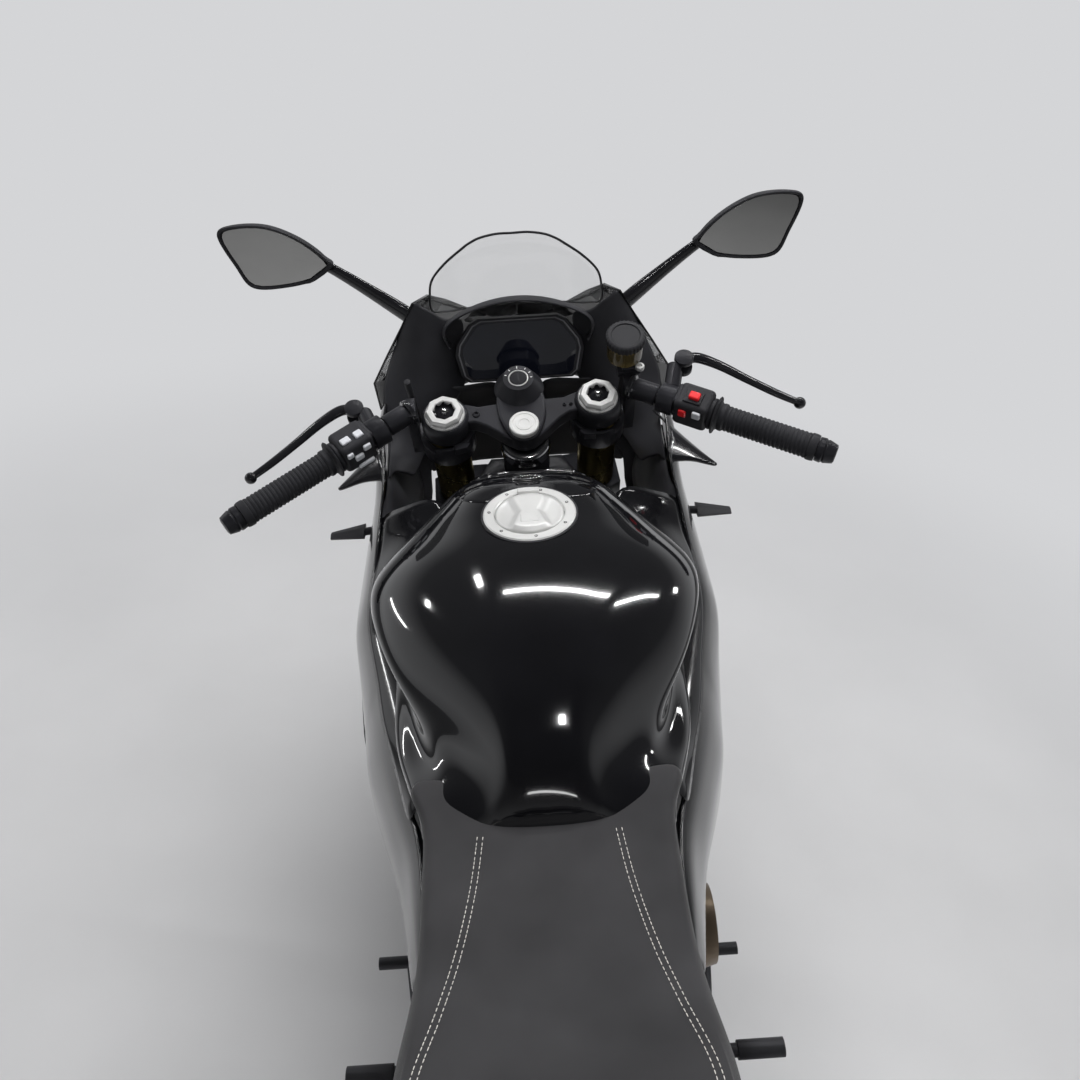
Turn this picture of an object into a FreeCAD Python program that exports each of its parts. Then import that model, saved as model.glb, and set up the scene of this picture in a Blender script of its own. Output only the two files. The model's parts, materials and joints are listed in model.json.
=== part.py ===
"""Sport bike, full size, parked on its side stand.

Two frames are used. The bike frame has +X to the rider's right, +Y forward, +Z up, and its origin on the
ground midway between the axles of the upright bike. The fork frame has +X right, +Y forward of the
steering axis, +Z up that axis, and its origin where the axis meets the ground. Both are carried into the
row frame by the lean on the side stand, which also seats both tyres on the floor. Millimetres throughout.
"""
import FreeCAD, Part
import math
import os
import Sketcher
from FreeCAD import Placement, Rotation, Vector

os.makedirs("parts", exist_ok=True)
doc = FreeCAD.newDocument("sport_bike")

# Driving dimensions: alias, value in mm or degrees
SIZES = [
    ("wheelbase", 1410), ("rake_angle", 24), ("fork_offset", 34), ("lean_angle", 8.5), ("steer_angle", 3.5),
    ("front_tyre_radius", 300), ("front_tyre_width", 120), ("front_crown_radius", 64),
    ("rear_tyre_radius", 315), ("rear_tyre_width", 180), ("rear_crown_radius", 96),
    ("bead_radius", 216), ("flange_radius", 227), ("flange_width", 5), ("rim_wall", 7),
    ("front_rim_width", 89), ("rear_rim_width", 140), ("hub_radius", 36), ("hub_length", 90),
    ("front_disc_radius", 155), ("rear_disc_radius", 110), ("disc_band", 32), ("disc_wall", 5),
    ("front_disc_gap", 148), ("rear_disc_place", 92), ("axle_radius", 10), ("axle_clearance", 0.05),
    ("axle_reach", 148), ("axle_end_length", 8), ("axle_end_radius", 8), ("front_axle_reach", 126),
    ("arm_inner_x", 118), ("arm_wall", 22),
    ("fork_spread", 208), ("fork_top_radius", 27), ("fork_slider_radius", 21.5), ("fork_top_drop", 2),
    ("fork_split_height", 590), ("fork_cap_radius", 25), ("fork_cap_height", 13),
    ("yoke_top_height", 1012), ("yoke_wall", 28), ("yoke_spacing", 200), ("lower_yoke_wall", 34),
    ("yoke_clearance", 3), ("yoke_step", 6), ("stem_radius", 15), ("stem_cap_radius", 20), ("headstock_radius", 32),
    ("bar_radius", 11), ("grip_radius", 16.5), ("grip_flange_radius", 25),
    ("bar_rise", 4), ("clutch_lever_drop", 27),
    ("panel_wall", 3), ("screen_wall", 3), ("seat_clearance", 1), ("tank_cap_radius", 40),
    ("tank_ring_radius", 54), ("filler_bore_radius", 20), ("filler_depth", 60), ("cap_wall", 7),
    ("cap_gap", 0.3), ("swingarm_pivot_y", -150), ("swingarm_pivot_z", 360), ("rear_hub_length", 110),
    ("sprocket_place", 104), ("sprocket_wall", 6), ("sprocket_radius", 100), ("drive_sprocket_radius", 38),
    ("chain_width", 18), ("chain_height", 14), ("chain_clearance", 0.8), ("chain_pitch", 15.875),
    ("chain_waist", 2.5), ("tooth_depth", 7), ("peg_reach", 258), ("peg_y", -184), ("peg_z", 394),
    ("stand_pivot_x", -112), ("stand_pivot_y", -105), ("stand_pivot_z", 232), ("stand_radius", 9),
    ("stand_foot_x", -262), ("stand_foot_y", -70), ("stand_foot_wall", 8), ("running_gap", 0.3),
    ("plate_inner_x", 117), ("plate_wall", 25), ("engine_half_width", 138), ("muffler_x", 198),
    ("number_plate_width", 180), ("number_plate_height", 150), ("number_plate_tilt", 20),
]
sheet = doc.addObject("Spreadsheet::Sheet", "sizes")
for row, (alias, number) in enumerate(SIZES, start=1):
    sheet.set(f"A{row}", alias)
    sheet.set(f"B{row}", str(number))
    sheet.setAlias(f"B{row}", alias)
doc.recompute()


def val(alias):
    """The number that the sheet holds under an alias."""
    return float(getattr(sheet, alias))


def ex(text):
    """An expression on the sheet's cells: every alias in the text gets the sheet's name before it."""
    words = {alias for alias, _ in SIZES}
    out, word = [], ""
    for letter in text + " ":
        if letter.isalnum() or letter == "_":
            word += letter
            continue
        out.append(("sizes." + word if word in words else word) + letter)
        word = ""
    return "".join(out).strip()


RAKE = math.radians(val("rake_angle"))
FRONT_AXLE = Vector(0, val("wheelbase") / 2, val("front_tyre_radius"))
REAR_AXLE = Vector(0, -val("wheelbase") / 2, val("rear_tyre_radius"))
AXIS_UP = Vector(0, -math.sin(RAKE), math.cos(RAKE))
AXIS_FORWARD = Vector(0, math.cos(RAKE), math.sin(RAKE))
# The steering axis passes behind the front axle by the fork offset and meets the ground here.
AXIS_FOOT = Vector(0, FRONT_AXLE.y + FRONT_AXLE.z * math.tan(RAKE) - val("fork_offset") / math.cos(RAKE), 0)
FORK_FRAME = Placement(AXIS_FOOT, Rotation(Vector(1, 0, 0), val("rake_angle")))
AXLE_HEIGHT = (FRONT_AXLE - AXIS_FOOT).dot(AXIS_UP)
STEER = Placement(Vector(), Rotation(AXIS_UP, val("steer_angle")), AXIS_FOOT)


def lowest(rest, centre, sideways, radius, crown):
    """Lowest point of a tyre, taken as a ring of the crown's radius, once the bike is placed by rest."""
    lean_of_wheel = rest.Rotation.multVec(sideways).z
    return rest.multVec(centre).z - (radius - crown) * math.sqrt(1 - lean_of_wheel**2) - crown


def rest_placement():
    """The lean on the side stand, with the small lift and pitch that seat both tyres on the floor."""
    rest = Placement(Vector(), Rotation(Vector(0, 1, 0), -val("lean_angle")))
    for _ in range(6):
        front = lowest(rest, STEER.multVec(FRONT_AXLE), STEER.Rotation.multVec(Vector(1, 0, 0)),
                       val("front_tyre_radius"), val("front_crown_radius"))
        rear = lowest(rest, REAR_AXLE, Vector(1, 0, 0), val("rear_tyre_radius"), val("rear_crown_radius"))
        pitch = Rotation(Vector(1, 0, 0), -math.degrees((front - rear) / val("wheelbase")))
        rest = Placement(Vector(0, 0, -(front + rear) / 2), pitch).multiply(rest)
    return rest


REST = rest_placement()
TURNED = REST.multiply(STEER)
STEERED = TURNED.multiply(FORK_FRAME)
nodes = []


def node(shape_object, label, place):
    """Names a finished piece and carries it from the frame it is drawn in to the row frame."""
    shape_object.Label = label
    shape_object.Placement = place.multiply(shape_object.Placement)
    nodes.append(shape_object)
    return shape_object


def bind(target, **expressions):
    for name, text in expressions.items():
        target.setExpression(name, ex(text))
    return target


def turn_to(direction):
    return Rotation(Vector(0, 0, 1), direction)


def rod(start, direction, radius, length):
    """A cylinder from start along direction; radius and length are expressions on the sheet."""
    made = bind(doc.addObject("Part::Cylinder", "rod"), Radius=radius, Height=length)
    made.Placement = Placement(start, turn_to(direction))
    return made


def rod_between(start, end, radius):
    """A cylinder from one point to another, of a radius bound to the sheet."""
    made = bind(doc.addObject("Part::Cylinder", "rod"), Radius=radius)
    made.Height = (end - start).Length
    made.Placement = Placement(start, turn_to(end - start))
    return made


def cone_between(start, end, radius_start, radius_end):
    made = doc.addObject("Part::Cone", "taper")
    made.Radius1 = radius_start
    made.Radius2 = radius_end
    made.Height = (end - start).Length
    made.Placement = Placement(start, turn_to(end - start))
    return made


def block(centre, size, rotation=None):
    """A box of the size (x, y, z) about its centre, turned about that centre."""
    made = doc.addObject("Part::Box", "block")
    made.Length, made.Width, made.Height = size
    turn = rotation or Rotation()
    made.Placement = Placement(centre - turn.multVec(Vector(*size) * 0.5), turn)
    return made


def fused(*pieces):
    made = doc.addObject("Part::MultiFuse", "joined")
    made.Shapes = list(pieces)
    return made


def less(base, *tools):
    made = doc.addObject("Part::Cut", "cut")
    made.Base = base
    made.Tool = tools[0] if len(tools) == 1 else fused(*tools)
    return made


def group(*pieces):
    """Like pieces that don't touch, in one node."""
    made = doc.addObject("Part::Compound", "group")
    made.Links = list(pieces)
    return made


def feature(shape, name="shape"):
    made = doc.addObject("Part::Feature", name)
    made.Shape = shape
    return made


def loop(points):
    """A closed wire of straight edges through the points."""
    return Part.makePolygon(list(points) + [points[0]])


def slab(outline, low, high):
    """A plate whose (y, z) outline lies across the bike, from x = low to x = high."""
    face = Part.Face(loop([Vector(low, y, z) for y, z in outline]))
    return face.extrude(Vector(high - low, 0, 0))


def rounded_slab(outline, low, high, radius):
    """A slab whose corners are rounded by a radius where the outline leaves room for it."""
    points = [Vector(low, y, z) for y, z in outline]
    edges, count = [], len(points)
    trims = []
    for i in range(count):
        before, here, after = points[i - 1], points[i], points[(i + 1) % count]
        to_before, to_after = (before - here).normalize(), (after - here).normalize()
        half = to_before.getAngle(to_after) / 2
        reach = min(radius / math.tan(half), 0.45 * (before - here).Length, 0.45 * (after - here).Length)
        bulge = here + (to_before + to_after).normalize() * reach * (1 / math.cos(half) - math.tan(half))
        trims.append((here + to_before * reach, bulge, here + to_after * reach))
    for i in range(count):
        edges.append(Part.Arc(*trims[i]).toShape())
        edges.append(Part.LineSegment(trims[i][2], trims[(i + 1) % count][0]).toShape())
    return Part.Face(Part.Wire(edges)).extrude(Vector(high - low, 0, 0))


def mirrored(shape):
    return shape.mirror(Vector(), Vector(1, 0, 0))


def skin(stations, wall, side=1, grow=0.0):
    """A shell on one side of the bike. Each station is y and its outer points (x, z) from top to bottom.
    Its outside moves out by grow, and its inside stays a wall in from the points."""
    wires = []
    for y, points in stations:
        outer, inner, edge = points, [], []
        for i, (x, z) in enumerate(outer):
            before = outer[max(i - 1, 0)]
            after = outer[min(i + 1, len(outer) - 1)]
            run = Vector(after[0] - before[0], 0, after[1] - before[1]).normalize()
            inner.append((x + run.z * wall, z - run.x * wall))
            edge.append((x - run.z * grow, z + run.x * grow))
        wires.append(loop([Vector(side * x, y, z) for x, z in edge + inner[::-1]]))
    return Part.makeLoft(wires, True, True)


def pipe(points, radius, bend_share=0.45):
    """A tube along straight runs joined by tangent arcs, each as large as its two runs allow."""
    edges, here = [], points[0]
    for i in range(1, len(points) - 1):
        before, corner, after = points[i - 1], points[i], points[i + 1]
        to_before, to_after = (before - corner).normalize(), (after - corner).normalize()
        reach = bend_share * min((before - corner).Length, (after - corner).Length)
        half = to_before.getAngle(to_after) / 2
        start, end = corner + to_before * reach, corner + to_after * reach
        middle = corner + (to_before + to_after).normalize() * reach * (1 / math.cos(half) - math.tan(half))
        edges.append(Part.LineSegment(here, start).toShape())
        edges.append(Part.Arc(start, middle, end).toShape())
        here = end
    edges.append(Part.LineSegment(here, points[-1]).toShape())
    path = Part.Wire(edges)
    section = Part.Wire(Part.Circle(points[0], points[1] - points[0], radius).toShape())
    return path.makePipeShell([section], True, True)


def revolved(name, outline, axis_x=True):
    """A PartDesign body turned about the X axis from a closed outline of (x, radius) points and arcs."""
    body = doc.addObject("PartDesign::Body", name)
    plane = next(f for f in body.Origin.OriginFeatures if f.Role == "XY_Plane")
    sketch = body.newObject("Sketcher::SketchObject", name + "_outline")
    sketch.AttachmentSupport = [(plane, "")]
    sketch.MapMode = "FlatFace"
    here = Vector(*outline[0], 0)
    for item in outline[1:] + [outline[0]]:
        if len(item) == 2 and isinstance(item[0], tuple):
            middle, end = Vector(*item[0], 0), Vector(*item[1], 0)
            sketch.addGeometry(Part.Arc(here, middle, end), False)
        else:
            end = Vector(*item, 0)
            sketch.addGeometry(Part.LineSegment(here, end), False)
        here = end
    turn = body.newObject("PartDesign::Revolution", name + "_turn")
    turn.Profile = sketch
    turn.ReferenceAxis = (sketch, ["H_Axis"])
    turn.Angle = 360
    return body


def tyre(label, radius, width, crown, rim_width, centre, place):
    """Round-crowned tyre: the tread's arc in short straight steps, then sidewalls down to the beads."""
    ring, half, bead = radius - crown, width / 2, rim_width / 2
    spread, lean = math.asin(min(half / crown, 0.995)), math.radians(val("lean_angle"))
    turns = [lean + (spread - lean) * step / 3 for step in range(4)]
    tread = [(crown * math.sin(turn), ring + crown * math.cos(turn)) for turn in [-t for t in turns[::-1]] + turns]
    low = tread[0][1] - 12
    outline = [(-bead, val("bead_radius")), (-bead, val("flange_radius")), (-half, low), *tread, (half, low),
               (bead, val("flange_radius")), (bead, val("bead_radius"))]
    body = revolved(label, outline)
    body.Placement = Placement(centre, Rotation())
    return node(body, label, place)


def rim(label, rim_width, hub_length, centre, place):
    """Cast rim: a barrel with flanges, a hub bored for its axle, and five pairs of spokes."""
    half, flange = rim_width / 2, val("flange_width")
    inner, bead, top = val("bead_radius") - val("rim_wall"), val("bead_radius"), val("flange_radius")
    barrel = revolved(label + "_barrel", [(-half - flange, inner), (-half - flange, top), (-half, top),
                                          (-half, bead), (half, bead), (half, top), (half + flange, top),
                                          (half + flange, inner)])
    hub = rod(Vector(-val(hub_length) / 2, 0, 0), Vector(1, 0, 0), "hub_radius", hub_length)
    spokes = []
    for pair in range(5):
        for lean in (-11, 11):
            root, tip = math.radians(72 * pair + 0.6 * lean), math.radians(72 * pair + lean)
            wires = []
            for angle, reach, wide, deep in ((root, val("hub_radius") - 12, 15, half * 0.8),
                                             (tip, inner + 3, 13, half * 0.55)):
                out = Vector(0, math.sin(angle), math.cos(angle))
                across = Vector(0, math.cos(angle), -math.sin(angle))
                mid = out * reach
                wires.append(loop([mid + across * a * wide / 2 + Vector(b * deep / 2, 0, 0)
                                   for a, b in ((-1, -1), (1, -1), (1, 1), (-1, 1))]))
            spokes.append(feature(Part.makeLoft(wires, True, True), "spoke"))
    wheel = fused(barrel, hub, *spokes)
    bore = rod(Vector(-val(hub_length), 0, 0), Vector(1, 0, 0), "axle_radius + axle_clearance",
               hub_length + " * 2")
    made = less(wheel, bore)
    made.Placement = Placement(centre, Rotation())
    return node(made, label, place)


def disc(name, radius, place_x, hub_length):
    """Brake disc on its carrier: a drilled band, a spider of six arms and a hub ring."""
    body = doc.addObject("PartDesign::Body", name)
    plane = next(f for f in body.Origin.OriginFeatures if f.Role == "YZ_Plane")
    sketch = body.newObject("Sketcher::SketchObject", name + "_ring")
    sketch.AttachmentSupport = [(plane, "")]
    sketch.MapMode = "FlatFace"
    sketch.addGeometry(Part.Circle(Vector(), Vector(0, 0, 1), radius), False)
    sketch.addGeometry(Part.Circle(Vector(), Vector(0, 0, 1), radius - val("disc_band")), False)
    for item in (0, 1):
        sketch.addConstraint(Sketcher.Constraint("Coincident", item, 3, -1, 1))
    pad = body.newObject("PartDesign::Pad", name + "_pad")
    pad.Profile = sketch
    bind(pad, Length="disc_wall")
    pad.Midplane = True
    doc.recompute()
    holes = body.newObject("Sketcher::SketchObject", name + "_holes")
    holes.AttachmentSupport = [(plane, "")]
    holes.MapMode = "FlatFace"
    for share, turn in ((0.25, 0), (0.72, 12)):
        reach = radius - val("disc_band") * share
        spot = Vector(reach * math.cos(math.radians(turn)), reach * math.sin(math.radians(turn)), 0)
        holes.addGeometry(Part.Circle(spot, Vector(0, 0, 1), 4), False)
    pocket = body.newObject("PartDesign::Pocket", name + "_drilled")
    pocket.Profile = holes
    pocket.Type = 1
    pocket.Midplane = True
    doc.recompute()
    pattern = body.newObject("PartDesign::PolarPattern", name + "_row")
    pattern.Originals = [pocket]
    pattern.Axis = (sketch, ["N_Axis"])
    pattern.Angle = 360
    pattern.Occurrences = 15
    body.Tip = pattern
    doc.recompute()
    arms = []
    side = 1 if place_x > 0 else -1
    for k in range(6):
        angle = math.radians(60 * k)
        out = Vector(0, math.cos(angle), math.sin(angle))
        reach = radius - val("disc_band") + 4
        arms.append(block(out * (reach / 2 + 18), (val("disc_wall"), reach - 36, 16),
                          Rotation(Vector(1, 0, 0), math.degrees(angle))))
    ring_back = rod(Vector(-val("disc_wall") / 2, 0, 0), Vector(1, 0, 0), "hub_radius + 14", "disc_wall")
    spider = fused(ring_back, *arms)
    seat = doc.addObject("Part::Cylinder", "seat")
    seat.Radius = val("hub_radius") - 4
    seat.Height = abs(place_x) - hub_length / 2
    seat.Placement = Placement(Vector(), turn_to(Vector(-side, 0, 0)))
    whole = fused(body, spider, seat)
    bore = rod(Vector(-200, 0, 0), Vector(1, 0, 0), "axle_radius + axle_clearance", "400")
    made = less(whole, bore)
    made.Placement = Placement(Vector(place_x, 0, 0), Rotation())
    return made


# Wheels
tyre("front_tyre", val("front_tyre_radius"), val("front_tyre_width"), val("front_crown_radius"),
     val("front_rim_width"), FRONT_AXLE, TURNED)
tyre("rear_tyre", val("rear_tyre_radius"), val("rear_tyre_width"), val("rear_crown_radius"),
     val("rear_rim_width"), REAR_AXLE, REST)
rim("front_rim", val("front_rim_width"), "hub_length", FRONT_AXLE, TURNED)
rim("rear_rim", val("rear_rim_width"), "rear_hub_length", REAR_AXLE, REST)

front_discs = group(*[disc(f"front_disc_{tag}", val("front_disc_radius"), side * val("front_disc_gap") / 2,
                           val("hub_length")) for tag, side in (("left", -1), ("right", 1))])
front_discs.Placement = Placement(FRONT_AXLE, Rotation())
node(front_discs, "front_discs", TURNED)
rear_disc = disc("rear_disc_ring", val("rear_disc_radius"), val("rear_disc_place"), val("rear_hub_length"))
rear_disc.Placement = Placement(REAR_AXLE + Vector(val("rear_disc_place"), 0, 0), Rotation())
node(rear_disc, "rear_disc", REST)


def toothed(radius, low, high):
    """A toothed plate across the bike about the X axis; its tips reach the radius, one tooth to each link."""
    teeth = round(2 * math.pi * (radius + val("chain_height") / 2) / val("chain_pitch"))
    spots = []
    for k in range(teeth * 2):
        reach = radius - (val("tooth_depth") if k % 2 else 0)
        for shift in (-0.14, 0.14):
            turn = math.pi * (k + shift * (1 + k % 2)) / teeth
            spots.append(Vector(low, reach * math.cos(turn), reach * math.sin(turn)))
    return Part.Face(loop(spots)).extrude(Vector(high - low, 0, 0))


# Rear sprocket with its carrier, on the left of the hub
place = -val("sprocket_place")
plate = feature(toothed(val("sprocket_radius"), place - val("sprocket_wall") / 2, place + val("sprocket_wall") / 2),
                "sprocket_plate")
carrier = doc.addObject("Part::Cylinder", "carrier")
carrier.Radius = 60
carrier.Height = val("sprocket_place") - val("rear_hub_length") / 2
carrier.Placement = Placement(Vector(place, 0, 0), turn_to(Vector(1, 0, 0)))
windows = [rod(Vector(place - 10, 78 * math.cos(math.radians(60 * k)), 78 * math.sin(math.radians(60 * k))),
               Vector(1, 0, 0), "axle_radius", "20") for k in range(6)]
bore = rod(Vector(-200, 0, 0), Vector(1, 0, 0), "axle_radius + axle_clearance", "400")
sprocket = less(fused(plate, carrier), bore, *windows)
sprocket.Placement = Placement(REAR_AXLE, Rotation())
node(sprocket, "rear_sprocket", REST)


# Axles with the collars that hold the hubs apart from the arms and the fork feet
def axle(label, centre, reach, collars, place):
    body = val(reach) - val("axle_end_length")
    rods = [rod(centre - Vector(body, 0, 0), Vector(1, 0, 0), "axle_radius", f"({reach} - axle_end_length) * 2"),
            rod(centre - Vector(val(reach), 0, 0), Vector(1, 0, 0), "axle_end_radius", reach + " * 2")]
    for start, end in collars:
        collar = doc.addObject("Part::Cylinder", "collar")
        bind(collar, Radius="axle_radius + 6")
        collar.Height = abs(end - start)
        collar.Placement = Placement(centre + Vector(start, 0, 0), turn_to(Vector(end - start, 0, 0)))
        rods.append(collar)
    return node(fused(*rods), label, place)


gap = val("running_gap")
disc_out = val("front_disc_gap") / 2 + val("disc_wall") / 2 + gap
foot_in = val("fork_spread") / 2 - val("fork_slider_radius") - gap
axle("front_axle", FRONT_AXLE, "front_axle_reach", [(disc_out, foot_in), (-disc_out, -foot_in)], TURNED)
axle("rear_axle", REAR_AXLE, "axle_reach",
     [(val("rear_disc_place") + val("disc_wall") / 2 + gap, val("arm_inner_x") - gap),
      (-val("sprocket_place") - val("sprocket_wall") / 2 - gap, -val("arm_inner_x") + gap)], REST)


# Fork, in the fork frame: x right, y forward of the steering axis, z up the axis
def flat(outline, low, high):
    """A plate whose (x, y) outline lies square to the steering axis, from z = low to z = high."""
    return Part.Face(loop([Vector(x, y, low) for x, y in outline])).extrude(Vector(0, 0, high - low))


def both(half):
    """An outline's right half, from front to back, with its mirror image."""
    return list(half) + [(-x, y) for x, y in half[::-1] if abs(x) > 1e-6]


offset, spread = val("fork_offset"), val("fork_spread") / 2
yoke_top = val("yoke_top_height")
fork_top = yoke_top - val("fork_top_drop")
lower_yoke = yoke_top - val("yoke_spacing")
UP = Vector(0, 0, 1)
forks = []
for side in (-1, 1):
    x = side * spread
    tube = rod(Vector(x, offset, val("fork_split_height")), UP, "fork_top_radius",
               "yoke_top_height - fork_top_drop - fork_split_height")
    slider = rod(Vector(x, offset, AXLE_HEIGHT), UP, "fork_slider_radius", "fork_split_height")
    slider.setExpression("Height", None)
    slider.Height = val("fork_split_height") - AXLE_HEIGHT + 1
    collar = rod(Vector(x, offset, val("fork_split_height") - 14), UP, "fork_top_radius + 3", "18")
    foot = rod(Vector(x - val("fork_slider_radius") + 0.5, offset, AXLE_HEIGHT), Vector(1, 0, 0),
               "axle_radius + 16", "fork_slider_radius * 2 - 1")
    lug = block(Vector(x + side * 2, -8, AXLE_HEIGHT + 72), (24, 70, 46))
    axle_bore = rod(Vector(x - 40, offset, AXLE_HEIGHT), Vector(1, 0, 0), "axle_radius + axle_clearance", "80")
    forks.append(less(fused(tube, slider, collar, foot, lug), axle_bore))
node(group(*forks), "forks", STEERED)

caps = []
for x in (-spread, spread):
    hexagon = doc.addObject("Part::Prism", "cap")
    bind(hexagon, Circumradius="fork_cap_radius", Height="fork_cap_height")
    hexagon.Polygon = 6
    hexagon.Placement = Placement(Vector(x, offset, fork_top), Rotation())
    flange = rod(Vector(x, offset, fork_top), UP, "fork_cap_radius + 0.5", "fork_cap_height - 4")
    well = rod(Vector(x, offset, fork_top + val("fork_cap_height") - 8), UP, "fork_cap_radius - 9", "12")
    stud = rod(Vector(x, offset, fork_top + 1), UP, "axle_radius / 2", "fork_cap_height - 2")
    caps.append(fused(less(fused(hexagon, flange), well), stud))
node(group(*caps), "fork_caps", STEERED)

top_half = [(0, 46), (34, 44), (58, 62), (88, 78), (120, 76), (140, 58), (141, 22), (124, 2), (80, -4),
            (52, -16), (32, -34), (0, -38)]
low = yoke_top - val("yoke_wall")
yoke_plate = feature(flat(both(top_half), low, yoke_top - val("yoke_step")), "yoke_plate")
# The raised middle narrows from the lock's ring back to the stem; each fork clamp stands up as a ring.
tower_half = [(0, 97), (24, 95), (38, 84), (43, 66), (38, 44), (28, 22), (25, 2), (22, -16), (12, -26), (0, -28)]
tower = feature(flat(both(tower_half), low + val("yoke_step"), yoke_top + 2), "yoke_tower")
clamp_rings = [rod(Vector(x, offset, low), UP, "fork_top_radius + 9", "yoke_wall") for x in (-spread, spread)]
lock_ring = rod(Vector(0, 66, low), UP, "stem_cap_radius + 10", "yoke_wall")
bores = [rod(Vector(x, offset, low - 5), UP, "fork_top_radius + axle_clearance", "60")
         for x in (-spread, spread)]
bores.append(rod(Vector(0, 0, low - 40), UP, "stem_radius + axle_clearance", "yoke_wall + 40"))
bores.append(rod(Vector(0, 66, low - 5), UP, "stem_cap_radius + 2 + axle_clearance", "60"))
stem_cap = rod(Vector(0, 0, yoke_top), UP, "stem_cap_radius", "12")
node(fused(less(fused(yoke_plate, tower, lock_ring, *clamp_rings), *bores), stem_cap), "top_yoke", STEERED)
node(rod(Vector(0, 66, low - 34), UP, "stem_cap_radius + 2", "yoke_wall + 49"), "ignition_lock", STEERED)

low = lower_yoke - val("lower_yoke_wall") / 2
plate = feature(flat(both([(0, 60), (60, 72), (104, 74), (138, 56), (140, 14), (104, -5), (50, -20),
                           (26, -32), (0, -34)]), low, low + val("lower_yoke_wall")), "yoke_plate")
bores = [rod(Vector(x, offset, low - 5), UP, "fork_top_radius + axle_clearance", "60")
         for x in (-spread, spread)]
stem = rod(Vector(0, 0, low), UP, "stem_radius", "yoke_spacing - 1 + lower_yoke_wall / 2")
node(fused(less(plate, *bores), stem), "lower_yoke", STEERED)

# Bars below the top yoke, with grips, switch housings, levers and the brake's reservoir
BAR_INNER = Vector(147, 44, yoke_top + val("bar_rise"))
BAR_OUTER = BAR_INNER + Vector(227, -143, 7)
BAR_RUN = (BAR_OUTER - BAR_INNER).normalize()


def flip(point, side):
    return Vector(side * point.x, point.y, point.z)


def along(distance, side, lift=0, ahead=0):
    """A point of the bar, a distance from its inner end, moved up and ahead by the given amounts."""
    front = UP.cross(BAR_RUN).normalize()
    return flip(BAR_INNER + BAR_RUN * distance + UP * lift + front * ahead, side)


def sleeve(start, end, side, outer, extra=0):
    """A tube round the bar between two distances; its bore clears the bar."""
    a, b = along(start, side), along(end, side)
    skin_rod = rod_between(a, b, outer)
    hole = rod_between(a + (a - b).normalize() * 5, b + (b - a).normalize() * 5, "bar_radius + axle_clearance")
    return skin_rod, hole


clipons, grips, switches = [], [], []
for side in (-1, 1):
    clamp = rod(Vector(side * spread, offset, yoke_top - 68), UP, "fork_top_radius + 10", "36")
    riser = block(Vector(side * 143, 42, yoke_top - 27), (22, 30, 82))
    bar = rod_between(along(-6, side), along(266, side), "bar_radius")
    fork_hole = rod(Vector(side * spread, offset, yoke_top - 82), UP, "fork_top_radius + axle_clearance", "70")
    trim = block(Vector(side * 120, 42, yoke_top - 12), (43, 80, 60))

    body, hole = sleeve(124, 262, side, "grip_radius")
    flange, _ = sleeve(121, 126, side, "grip_flange_radius")
    rings = [sleeve(d, d + 4, side, "grip_radius + 1.5")[0] for d in (134, 254)]
    grips.append(less(fused(body, flange, *rings), hole))

    tip = cone_between(along(262.3, side), along(286, side), 16, 11)
    clipons.append(less(fused(clamp, riser, bar, tip), fork_hole, trim))

    turn = Rotation(Vector(1, 0, 0), flip(BAR_RUN, side))
    housing = block(along(94, side, 1, 2), (48, 42, 46), turn)
    _, hole = sleeve(60, 121, side, "grip_radius")
    keys = [block(along(94 + a, side, b, c), (w, 5, 8), turn) for a, b, c, w in
            ((-10, 10, -20.5, 18), (12, 10, -20.5, 12), (0, -8, -20.5, 22))]
    switches.append(less(fused(housing, *keys), hole))
for pieces, label in ((clipons, "clipons"), (grips, "grips"), (switches, "switchgear")):
    node(group(*pieces), label, STEERED)

# Perches clamp the bar inboard of the switches; the levers pivot ahead of the bar.
# The clutch lever on the left hangs lower than the brake lever.
perches, levers = [], []
for side, drop in ((-1, val("clutch_lever_drop")), (1, 0)):
    pivot = flip(Vector(226, 66, yoke_top + 12 - drop), side)
    ring, hole = sleeve(46, 68, side, "bar_radius + 9")
    arm = rod_between(along(57, side, 4 - drop * 0.4, 15), pivot - Vector(side * 12, 4, 0), "bar_radius")
    head = rod(pivot - UP * 13, UP, "bar_radius + 2", "26")
    slot = block(pivot + Vector(side * 8, 6, 0), (52, 46, 13))
    perches.append(less(fused(ring, arm, head), hole, slot))
    route = [pivot + Vector(side * x, y, z) for x, y, z in ((-2, 0, 0), (26, 8, -2), (70, -22, -8), (110, -48, -16),
                                                            (150, -72, -24))]
    blade = feature(pipe(route, 5), "blade")
    ball = doc.addObject("Part::Sphere", "ball")
    ball.Radius = 8
    ball.Placement = Placement(route[-1], Rotation())
    levers.append(fused(blade, ball))
node(group(*levers), "levers", STEERED)

RESERVOIR = Vector(146, 78, yoke_top + 19)
cup = rod(RESERVOIR + UP * 9, UP, "grip_flange_radius - 1", "32")
lid = rod(RESERVOIR + UP * 41, UP, "grip_flange_radius + 1", "9")
foot = rod(RESERVOIR, UP, "bar_radius", "9")
node(fused(cup, lid, foot), "brake_reservoir", STEERED)
arm = block(RESERVOIR + Vector(4, -12.85, -5), (30, 15.7, 9))
perches.append(less(arm, rod(RESERVOIR - UP * 21, UP, "bar_radius", "21")))
node(group(*perches), "lever_perches", STEERED)

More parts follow.
